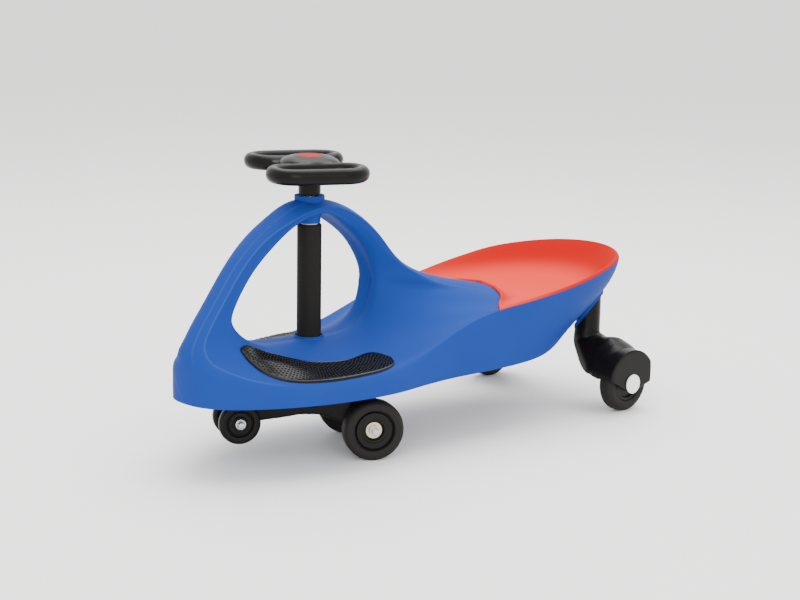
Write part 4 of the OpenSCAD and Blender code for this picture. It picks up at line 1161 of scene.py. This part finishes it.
@dataclass
class FootPad:
    """An embossed rubber pad on the deck beside the column."""

    loft: BodyLoft
    finishes: Finishes
    side: int
    thick: float = 1.7
    seat: float = 0.3
    rows: int = 90
    cols: int = 22
    # Border, in shares of the length or the width: its rounding, then a fine bead inside it
    round_u: float = 0.03
    round_v: float = 0.05
    slimness: float = 3.2
    bead_at: float = 0.06
    bead_wide: float = 0.025
    bead_high: float = 0.2
    stud_pitch: float = 4.7
    row_share: float = 0.85
    stud_size: tuple = (1.6 * MM, 1.05 * MM, 1.0 * MM)
    stud_turn: float = 18
    # Outline on the deck: rib from the nose's tip, inner edge and outer edge as deck_point() counts them
    bounds: list = field(default_factory=lambda: [
        [-0.74, 1.6, 1.68], [-0.64, 1.49, 1.79], [-0.4, 1.42, 1.9], [0, 1.41, 2.03], [0.6, 1.43, 2.24],
        [1.4, 1.55, 2.47], [2.1, 1.64, 2.66], [3, 1.75, 2.86], [4, 1.86, 2.92], [5, 1.93, 2.92],
        [5.6, 1.88, 2.91], [6.1, 1.82, 2.8], [6.4, 1.86, 2.5], [6.55, 2.05, 2.25]])

    def bound(self, share: float) -> Points:
        """The pad's rib, inner edge and outer edge at a share of its length."""
        knots = np.array(self.bounds, float)
        place = share * (len(knots) - 1)
        k = min(int(place), len(knots) - 2)
        a = knots[k - 1] if k > 0 else 2 * knots[0] - knots[1]
        d = knots[k + 2] if k + 2 < len(knots) else 2 * knots[-1] - knots[-2]
        return catmull(a, knots[k], knots[k + 1], d, place - k)

    def point(self, along: float, across: float, up: float) -> Points:
        """A point over the deck, by its share along and across the pad."""
        rib, inner, outer = self.bound(along)
        rib += self.loft.nose_tip
        col = inner + (outer - inner) * across
        return self.loft.deck_point(rib, col) + up * self.loft.deck_up(rib, col)

    def build(self) -> None:
        """Build the pad with a rounded border, and its raised studs."""
        name = "left" if self.side > 0 else "right"
        flip = np.array([float(self.side), 1.0, 1.0])
        grid_v = np.concatenate([[0, 0.006, 0.02, 0.05], np.linspace(0.08, 0.92, self.cols),
                                 [0.95, 0.98, 0.994, 1]])
        grid_u = np.concatenate([[0, 0.004, 0.012, 0.03], np.linspace(0.05, 0.95, self.rows),
                                 [0.97, 0.988, 0.996, 1]])
        points, n, rows = [], len(grid_v), len(grid_u)
        for u in grid_u:
            for v in grid_v:
                from_end, from_side = min(u, 1 - u), min(v, 1 - v)
                near = min(from_end / self.round_u, from_side / self.round_v, 1)
                border = min(from_end * self.slimness, from_side)
                bead = self.bead_high * math.exp(-((border - self.bead_at) / self.bead_wide) ** 2)
                crown = self.thick * math.sqrt(max(0, 1 - (1 - near) ** 2))
                points.append(self.point(u, v, self.seat + crown + bead))
        base = len(points)
        points += [self.point(u, v, self.seat - 0.6) for u in grid_u for v in grid_v]
        faces = []
        for i in range(rows - 1):
            for j in range(n - 1):
                a, b = i * n + j, (i + 1) * n + j
                faces += [[a, b, b + 1, a + 1], [base + a + 1, base + b + 1, base + b, base + a]]
        start, end = list(range(n)), list(range((rows - 1) * n, rows * n))
        inner, outer = list(range(0, rows * n, n)), list(range(n - 1, rows * n, n))
        border = start + outer[1:] + end[-2::-1] + inner[-2:0:-1]
        for a, b in zip(border, border[1:] + border[:1]):
            faces.append([a, b, base + b, base + a])
        pad = shade(mesh_piece(f"foot_pad_skin_{name}", to_row(np.array(points) * flip), faces), 50)
        dress(pad, self.finishes.pad, Body.CHASSIS, Slot.PAD, f"foot_pad_{name}")
        dress(self.studs(name, flip), self.finishes.pad, Body.CHASSIS, Slot.PAD)

    def studs(self, name: str, flip: Points) -> bpy.types.Object:
        """Short slanted studs in staggered rows over the pad, set out by a node tree."""
        places, turns = [], []
        steps = np.linspace(0.04, 0.96, 160)
        middle = np.array([self.point(u, 0.5, 0) for u in steps])
        reach = lengths(middle)
        rows = int(reach[-1] / (self.stud_pitch * self.row_share))
        for i in range(rows):
            u = float(np.interp((i + 0.5) / rows * reach[-1], reach, steps))
            width = np.linalg.norm(self.point(u, 0.95, 0) - self.point(u, 0.05, 0))
            count = int(width / self.stud_pitch)
            for k in range(count):
                v = 0.09 + 0.82 * (k + (0.25 if i % 2 else 0.75)) / max(count, 1)
                rib, inner, outer = self.bound(u)
                col = inner + (outer - inner) * v
                up = Vector(self.loft.deck_up(rib + self.loft.nose_tip, col) * flip)
                ahead = Vector((self.point(u + 0.01, v, 0) - self.point(u - 0.01, v, 0)) * flip).normalized()
                slant = math.radians(self.stud_turn if k % 2 else -self.stud_turn)
                ahead = (Matrix.Rotation(slant, 3, up) @ ahead).normalized()
                sideways = up.cross(ahead).normalized()
                basis = Matrix((ahead, sideways, up)).transposed()
                places.append(to_row(self.point(u, v, self.seat + self.thick - 0.05) * flip))
                turns.append(tuple(basis.to_euler()))
        mesh = bpy.data.meshes.new(f"foot_pad_studs_{name}")
        mesh.from_pydata([tuple(p) for p in places], [], [])
        turn = mesh.attributes.new("turn", "FLOAT_VECTOR", "POINT")
        turn.data.foreach_set("vector", np.array(turns).ravel())
        piece = linked(mesh.name, mesh)
        tree, given, inputs = open_tree(mesh.name, {"Stud size": "NodeSocketVector"})
        stud = add(tree, "GeometryNodeMeshIcoSphere", {"Radius": 1.0, "Subdivisions": 2})
        facing = add(tree, "GeometryNodeInputNamedAttribute", {"Name": "turn"}, data_type="FLOAT_VECTOR")
        turned_to = add(tree, "FunctionNodeEulerToRotation", {0: facing.outputs[0]})
        set_out(tree, self.finishes.pad, {
            "Points": given.outputs[0], "Instance": stud.outputs[0], "Rotation": turned_to.outputs[0],
            "Scale": given.outputs["Stud size"]})
        modifier = piece.modifiers.new("studs", "NODES")
        modifier.node_group = tree
        modifier[inputs["Stud size"]] = self.stud_size
        return apply_modifiers(piece)


# Steering, wheels and legs


@dataclass
class Steering:
    """The column, the steering wheel and the front truck, which turn together."""

    finishes: Finishes
    bore: float = 10.1
    stem_r: float = 14.7
    stem_length: float = 27.4
    stem_drop: float = 1.4
    foam_swell: float = 1.2
    foam_rise: float = 2.2
    thrust_r: float = 11.3
    thrust_rise: float = 0.4
    axle_r: float = 4.0
    head_share: float = 0.35
    arm_drop: float = 6.0
    arm_depth: float = 14.0
    # Shares of the way from the main axle to the tip axle: where the arm's drop comes in, and a lesser one
    # beside the main axle
    arm_span: tuple = (0.3, 0.75)
    foot_span: tuple = (0.05, 0.15, 0.18, 0.42)
    foot_share: float = 0.7
    dome_r: float = 46.0
    dome_share: float = 0.86
    loop_droop: float = 0.015
    loop_swell: float = 1.1
    swell_from: float = 0.7

    @staticmethod
    def heights(node: str) -> tuple[float, float, float]:
        """Outer radius, foot and top of a round frame node on the steering axis, in millimetres."""
        low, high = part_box(node)
        return (high.x - low.x) / 2 / MM, low.z / MM, high.z / MM

    def build(self) -> None:
        """Build and dress the turning pieces."""
        f, bore = self.finishes, self.bore
        wheel = softened("steering_wheel", "steering_wheel_moulding", 1.1, 22, self.hub_dome())
        self.droop(wheel)
        dress(wheel, f.black, Body.STEERING, Slot.BLACK, "steering_wheel")
        r, low = self.stem_r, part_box("upper_bush")[1].z / MM - self.stem_drop
        top = low + self.stem_length
        self.round_piece("steering_wheel_stem", [(bore, low, 0.3), (r, low, 0.5), (r, top, 0.5), (bore, top)],
                         f.black, Slot.BLACK)
        r, low, top = self.heights("steering_cap")
        self.round_piece("steering_cap_button", [
            (0, low), (r, low, 0.6), (r, top - 3.2, 0.6), (r * 0.7, top - 2.6, 4), (r * 0.35, top - 2.4, 4),
            (0, top - 2.4)], f.seat, Slot.SEAT, "steering_cap")
        r, low, top = self.heights("column_sleeve")
        r += self.foam_swell
        top += self.foam_rise
        self.round_piece("column_grip", [(bore, low, 0.5), (r, low, 2.2), (r, top, 2.2), (bore, top, 0.5)],
                         f.foam, Slot.BLACK, "column_sleeve")
        _, low, top = self.heights("column_washer")
        r = self.thrust_r
        top += self.thrust_rise
        self.round_piece("column_thrust_ring", [
            (bore, low, 0.3), (r, low, 0.8), (r, top, 0.8), (bore, top, 0.3)],
            f.nylon, Slot.NYLON, "column_washer")
        truck = softened("truck_frame", "truck_moulding", 1.2, 10)
        self.deepen(truck)
        dress(truck, f.black, Body.STEERING, Slot.BLACK, "truck_frame")
        for node in ("steering_shaft", "steering_bolt", "truck_bolt", "truck_nut", "main_axle", "main_nut",
                     "main_washers", "tip_axle", "tip_nut", "tip_washers"):
            piece = eased(node, f"{node}_eased", 0.5)
            if node in ("main_axle", "main_nut", "tip_axle", "tip_nut"):
                self.slim(piece, JOINTS[f"{node[:node.index('_')]}_wheel_left_spin"])
            dress(piece, f.steel, Body.STEERING, Slot.STEEL, node)

    @staticmethod
    def round_piece(name: str, outline: list[tuple], material: bpy.types.Material, slot: Slot,
                    *nodes: str) -> None:
        """Turn a piece about the column and dress it."""
        dress(turned(name, outline, COLUMN_FOOT, UPRIGHT), material, Body.STEERING, slot, *nodes)

    def hub_dome(self) -> bpy.types.Object:
        """The broad low dome round the cap, wider across the loops than along them."""
        r, _, top = self.heights("steering_cap")
        wide = self.dome_r
        outline = [(r + 0.4, top - 26), (wide - 6, top - 26), (wide, top - 21), (wide, top - 12.5),
                   (wide - 4, top - 8.6), (wide - 11, top - 5.6), (r + 2, top - 2.5), (r + 0.4, top - 2.5)]
        dome = turned("hub_dome", outline, (0, 0, 0), UPRIGHT)
        turn = Matrix.Rotation(TRUCK_ANGLE, 4, "Z")
        oval = Matrix.Diagonal((1, self.dome_share, 1, 1))
        dome.data.transform(Matrix.Translation(COLUMN_FOOT) @ turn @ oval)
        return dome

    def droop(self, wheel: bpy.types.Object) -> None:
        """Crown the loops of the steering wheel and let them hang a little towards their outer sides."""
        across = Vector((math.cos(TRUCK_ANGLE), math.sin(TRUCK_ANGLE), 0))
        hub = self.dome_r * MM
        points = [v.co for v in wheel.data.vertices]
        low = min(p.z for p in points if math.hypot(p.x, p.y - AXIS_Y) > hub)
        for point in points:
            away = abs((point - Vector(COLUMN_FOOT)).dot(across))
            swell = (self.loop_swell - 1) * step_up(self.swell_from, 1.0, away / hub)
            point.z += swell * max(0.0, point.z - low)
            point.z -= self.loop_droop * max(0.0, away - hub)

    def slim(self, piece: bpy.types.Object, joint: dict) -> None:
        """Draw the head of an axle or its nut in to the size of the bolt that shows in the hub."""
        at, axis = Vector(joint["pos_m"]), Vector(joint["axis"]).normalized()
        for vertex in piece.data.vertices:
            away = vertex.co - at
            along = axis * away.dot(axis)
            out = away - along
            if out.length > self.axle_r * MM:
                wide = self.axle_r * MM + (out.length - self.axle_r * MM) * self.head_share
                vertex.co = at + along + out.normalized() * wide

    def deepen(self, truck: bpy.types.Object) -> None:
        """Let the truck's arm run lower, most of all towards the tip wheels."""
        middle = {}
        for kind in ("main", "tip"):
            pair = [Vector(JOINTS[f"{kind}_wheel_{name}_spin"]["pos_m"]) for _, name in SIDES]
            middle[kind] = (pair[0] + pair[1]) / 2
        way = middle["tip"] - middle["main"]
        way.z = 0
        top = max(v.co.z for v in truck.data.vertices)
        for vertex in truck.data.vertices:
            share = (vertex.co - middle["main"]).dot(way) / way.length_squared
            near = step_up(*self.arm_span, share) + self.foot_share * band(self.foot_span, share)
            low = min(1.0, max(0.0, (top - vertex.co.z) / (self.arm_depth * MM)))
            vertex.co.z -= self.arm_drop * MM * near * low


@dataclass
class WheelSet:
    """All six wheels, turned from their sections: radius, place along the axle and fillet of each corner."""

    finishes: Finishes

    def build(self) -> None:
        """Build and dress the wheels of both sides."""
        for side, _ in SIDES:
            self.main_wheel(side)
            self.tip_wheel(side)
            self.rear_wheel(side)

    @staticmethod
    def both_faces(*face: tuple) -> list[tuple]:
        """An outline from its outer half: the same corners back again on the inner face."""
        return [*face, *((c[0], -c[1], *c[2:]) for c in reversed(face))]

    @staticmethod
    def turn(piece: str, kind: str, side: int, outline: list[tuple], cuts: int, material: bpy.types.Material,
             slot: Slot, node: str = "") -> None:
        """Turn one piece of a wheel about its axle and dress it.

        Args:
            piece: the piece's name without its side.
            kind: main, tip or rear.
            side: 1 on the left, -1 on the right.
            outline: the section, with its outer face at positive places.
            cuts: facets round the axle.
            material: what it is made of.
            slot: the record's slot for its finish.
            node: the frame node that it replaces, without its side.
        """
        name = dict(SIDES)[side]
        joint = JOINTS[f"{kind}_wheel_{name}_spin"]
        made = turned(f"{piece}_{name}", outline, joint["pos_m"], tuple(Vector(joint["axis"]) * side), cuts)
        dress(made, material, Body(f"{kind}_wheel_{name}"), slot, *([f"{node}_{name}"] if node else []))

    def main_wheel(self, side: int) -> None:
        """A main wheel: cast tread, stepped hub and a bearing in its middle."""
        f = self.finishes
        tread = self.both_faces((27.1, 9.4, 0.4), (28.3, 11.6, 0.8), (33, 12.5, 2), (36.5, 12.2, 3),
                                (40.5, 8.6, 5))
        self.turn("main_tread", "main", side, tread, 128, f.tread, Slot.TREAD, "main_tyre")
        hub = self.both_faces((11, 5.6, 0.3), (12.6, 5.6, 0.4), (13.4, 9, 0.8), (15.6, 9.6, 0.8),
                              (17.4, 8.4, 0.8), (24.2, 9.6, 0.8), (25.2, 6, 0.5), (27, 6, 0.3))
        self.turn("main_hub_core", "main", side, hub, 96, f.hub, Slot.HUB, "main_hub")
        ring = [(4.1, 6.2, 0.3), (5.8, 6.2, 0.3), (6.1, 5.8), (9.2, 5.8), (9.5, 6.2, 0.3), (10.95, 6.2, 0.3),
                (10.95, -0.7), (4.1, -0.7)]
        self.turn("main_bearing_ring", "main", side, ring, 64, f.bearing, Slot.BEARING, "main_bearing")
        inner = [(4.1, -9.2, 0.3), (10.95, -9.2, 0.3), (10.95, -2.3), (4.1, -2.3)]
        self.turn("main_bearing_inner", "main", side, inner, 64, f.bearing, Slot.BEARING)

    def tip_wheel(self, side: int) -> None:
        """A tip wheel: one moulding with a ring groove, on a plain bush."""
        f = self.finishes
        roller = self.both_faces((6.5, 6.6, 0.4), (9.4, 6.6, 0.6), (10.2, 5, 0.4), (15.2, 5.2, 0.4),
                                 (16.2, 3.4, 0.4), (17.4, 3.4, 0.4), (18.4, 6.4, 0.7), (24, 7, 2),
                                 (28, 4.6, 3))
        self.turn("tip_roller", "tip", side, roller, 96, f.hub, Slot.HUB, "tip_wheel")
        bush = [(4.1, -7, 0.3), (6.5, -7, 0.3), (6.5, 7, 0.3), (4.1, 7, 0.3)]
        self.turn("tip_bush_ring", "tip", side, bush, 48, f.nylon, Slot.NYLON, "tip_bush")

    def rear_wheel(self, side: int) -> None:
        """A rear wheel inside its fender."""
        f = self.finishes
        tread = self.both_faces((26.1, 9.2, 0.4), (27.4, 11.4, 0.8), (33, 12, 2), (37, 11.6, 3), (42, 7.4, 6))
        self.turn("rear_tread", "rear", side, tread, 128, f.tread, Slot.TREAD, "rear_tyre")
        hub = self.both_faces((4.1, 10, 0.3), (9.6, 10, 0.8), (10.8, 6.4, 0.8), (21, 6.4, 0.8),
                              (22.2, 9.6, 0.8), (26, 9.6, 0.5))
        self.turn("rear_hub_core", "rear", side, hub, 96, f.hub, Slot.HUB, "rear_hub")


@dataclass
class RearLegs:
    """The two rear legs with their axles, caps and clips."""

    finishes: Finishes
    axle_y: float = 483
    axle_z: float = 42
    cap_r: float = 14
    # Fender: outer face, width, full radius, where it grows (away from and above the axle), and its back
    fender_out: float = 155.0
    fender_width: float = 46.0
    fender_blend: float = 22.0
    fender_r: float = 49.5
    fender_rim: tuple = (24, 36)
    fender_up: tuple = (-4, 22)
    plate_grow: float = 0.2
    plate_back: float = 40.5
    back_give: float = 0.2
    # Elbow: how far it is filled forward, which share of that downward, and where by depth, side and height
    elbow_fill: float = 5.0
    elbow_down: float = 0.8
    elbow_front: float = 14.0
    elbow_out: tuple = (100, 122)
    elbow_span: tuple = (48, 62, 100, 128)
    # Top of the elbow: how far it is filled, which way it faces (back and up), and where by side and height
    crown_fill: float = 10.0
    crown_way: tuple = (0.5, 0.87)
    crown_span: tuple = (90, 110, 118, 150)
    crown_low: tuple = (62, 80)

    def fill_elbow(self, leg: bpy.types.Object) -> None:
        """Round out the front and the underside of a leg's elbow, and its top towards the fender."""
        middle = to_row([0, self.axle_y, 0])[1]
        normals = [vertex.normal.copy() for vertex in leg.data.vertices]
        for vertex, normal in zip(leg.data.vertices, normals):
            x, z = abs(vertex.co.x) / MM, vertex.co.z / MM
            front = step_up(0, self.elbow_front * MM, middle - vertex.co.y)
            fill = self.elbow_fill * MM * front * (1 - step_up(*self.elbow_out, x)) * band(self.elbow_span, z)
            vertex.co.y -= fill
            vertex.co.z -= self.elbow_down * fill
            facing = max(0.0, self.crown_way[0] * normal.y + self.crown_way[1] * normal.z)
            crown = band(self.crown_span, x) * step_up(*self.crown_low, z)
            vertex.co += normal * (self.crown_fill * MM * facing * crown)

    def square_fender(self, leg: bpy.types.Object) -> None:
        """Fill the fender's top out to its full radius and keep its back straight behind the wheel."""
        middle = to_row([0, self.axle_y, self.axle_z]) / MM
        inside = self.fender_out - self.fender_width
        for vertex in leg.data.vertices:
            x, y, z = vertex.co / MM
            back, up = y - middle[1], z - middle[2]
            far = math.hypot(back, up)
            width = step_up(inside, inside + self.fender_blend, abs(x))
            rim = width * step_up(*self.fender_rim, far) * step_up(*self.fender_up, up)
            room = max(1.0, self.fender_r / max(far, 1e-6))
            grow = 1 + rim * (min(1 + self.plate_grow, room) - 1)
            back, up = back * grow, up * grow
            if back > self.plate_back:
                back -= width * (1 - self.back_give) * (back - self.plate_back)
            vertex.co.y = (middle[1] + back) * MM
            vertex.co.z = (middle[2] + up) * MM

    def build(self) -> None:
        """Build and dress both legs."""
        for side, name in SIDES:
            leg = softened(f"rear_leg_{name}", f"rear_leg_moulding_{name}", 1.15, 8)
            self.fill_elbow(leg)
            self.square_fender(leg)
            dress(leg, self.finishes.black, Body.CHASSIS, Slot.BLACK, f"rear_leg_{name}")
            at = tuple(to_row([side * self.fender_out, self.axle_y, self.axle_z]))
            r = self.cap_r
            dome = [(0, 0), (r - 0.6, 0, 0.3), (r, 0.8, 0.3), (r, 2.8, 1.2), (r * 0.7, 3.7, 3),
                    (r * 0.3, 4, 2), (0, 4)]
            cap = turned(f"axle_cap_{name}", dome, at, (side, 0, 0), 72)
            dress(cap, self.finishes.cap, Body.CHASSIS, Slot.CAP, f"rear_cap_{name}")
            for node in (f"rear_axle_{name}", f"rear_clip_{name}"):
                dress(eased(node, f"{node}_eased", 0.4), self.finishes.steel, Body.CHASSIS, Slot.STEEL, node)


@dataclass
class Fixings:
    """Bushes in the body and the hidden screws."""

    finishes: Finishes
    bore: float = 10.2
    bush_r: float = 13.1
    flange_r: float = 15.2

    def build(self) -> None:
        """Build the upper bush and dress the lower one and the screws."""
        low, high = (corner.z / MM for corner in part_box("upper_bush"))
        foot, top, step = low + 0.9, high - 2.4, high - 4.4
        outline = [(self.bore, foot, 0.3), (self.bush_r, foot, 0.3), (self.bush_r, step),
                   (self.flange_r, step, 0.3), (self.flange_r, top, 0.3), (self.bore, top, 0.3)]
        bush = turned("upper_bush_ring", outline, COLUMN_FOOT, UPRIGHT)
        dress(bush, self.finishes.nylon, Body.CHASSIS, Slot.NYLON, "upper_bush")
        lower = eased("lower_bush", "lower_bush_eased", 0.4)
        dress(lower, self.finishes.nylon, Body.CHASSIS, Slot.NYLON, "lower_bush")
        for node in ("seat_screws", "leg_bolts"):
            dress(eased(node, f"{node}_eased", 0.5), self.finishes.steel, Body.CHASSIS, Slot.STEEL, node)


# Camera, light and floor


@dataclass
class Studio:
    """The photograph's camera, a pale floor and soft light."""

    azimuth: float = 47.15
    elevation: float = 11.75
    roll: float = -0.9
    distance: float = 2720.0
    target: tuple = (-51.26, 212.02, 167.67)
    lens_px: float = 1914.22
    frame_px: int = 800

    def build(self) -> None:
        """Set up the camera, the floor and the lights."""
        self.camera()
        self.floor()
        self.lights()

    def camera(self) -> None:
        """Put the camera where the photograph was taken."""
        az, el, roll = (math.radians(v) for v in (self.azimuth, self.elevation, self.roll))
        back = Vector((math.sin(az) * math.cos(el), -math.cos(az) * math.cos(el), math.sin(el)))
        right = Vector((math.cos(az), math.sin(az), 0))
        up = back.cross(right)
        level_right = right * math.cos(roll) - up * math.sin(roll)
        level_up = right * math.sin(roll) + up * math.cos(roll)
        place = Vector(to_row(self.target)) + back * (self.distance * MM)
        data = bpy.data.cameras.new("photo_camera")
        data.sensor_width = 36
        data.lens = self.lens_px / self.frame_px * data.sensor_width
        camera = linked("photo_camera", data)
        camera.matrix_world = Matrix((
            (level_right.x, level_up.x, back.x, place.x), (level_right.y, level_up.y, back.y, place.y),
            (level_right.z, level_up.z, back.z, place.z), (0, 0, 0, 1)))
        bpy.context.scene.camera = camera

    def floor(self) -> None:
        """A wide pale floor."""
        half = 30.0
        corners = [(-half, -half, 0), (half, -half, 0), (half, half, 0), (-half, half, 0)]
        mesh = bpy.data.meshes.new("studio_floor")
        mesh.from_pydata(corners, [], [[0, 1, 2, 3]])
        floor = linked("studio_floor", mesh)
        paint = bpy.data.materials.new("pale_floor_paint")
        paint.use_nodes = True
        shader = paint.node_tree.nodes["Principled BSDF"]
        shader.inputs["Base Color"].default_value = linear("#F4F4F2")
        shader.inputs["Roughness"].default_value = 0.6
        mesh.materials.append(paint)

    def lights(self) -> None:
        """A white surround, a large overhead softbox and a frontal fill."""
        world = bpy.data.worlds.new("white_surround")
        bpy.context.scene.world = world
        world.use_nodes = True
        surround = world.node_tree.nodes["Background"]
        surround.inputs["Color"].default_value = (1.0, 1.0, 1.0, 1.0)
        surround.inputs["Strength"].default_value = 1.8
        for name, place, size, watts in (("overhead_softbox", (-0.4, 0.5, 2.4), 2.4, 95.0),
                                         ("front_fill", (2.0, -1.6, 1.4), 1.6, 34.0)):
            data = bpy.data.lights.new(name, "AREA")
            data.size = size
            data.energy = watts
            lamp = linked(name, data)
            lamp.location = place
            lamp.rotation_euler = (Vector((0, 0, 0.15)) - Vector(place)).to_track_quat("-Z", "Y").to_euler()


def main() -> None:
    """Build every sub-assembly in order."""
    logging.basicConfig(level=logging.INFO, format="%(name)s: %(message)s")
    finishes = Finishes()
    loft = BodyLoft()
    Studio().build()
    MouldedBody(loft, finishes).build()
    SeatPan(loft, finishes).build()
    for side, _ in SIDES:
        FootPad(loft, finishes, side).build()
    Steering(finishes).build()
    WheelSet(finishes).build()
    RearLegs(finishes).build()
    Fixings(finishes).build()


if __name__ == "__main__":
    main()
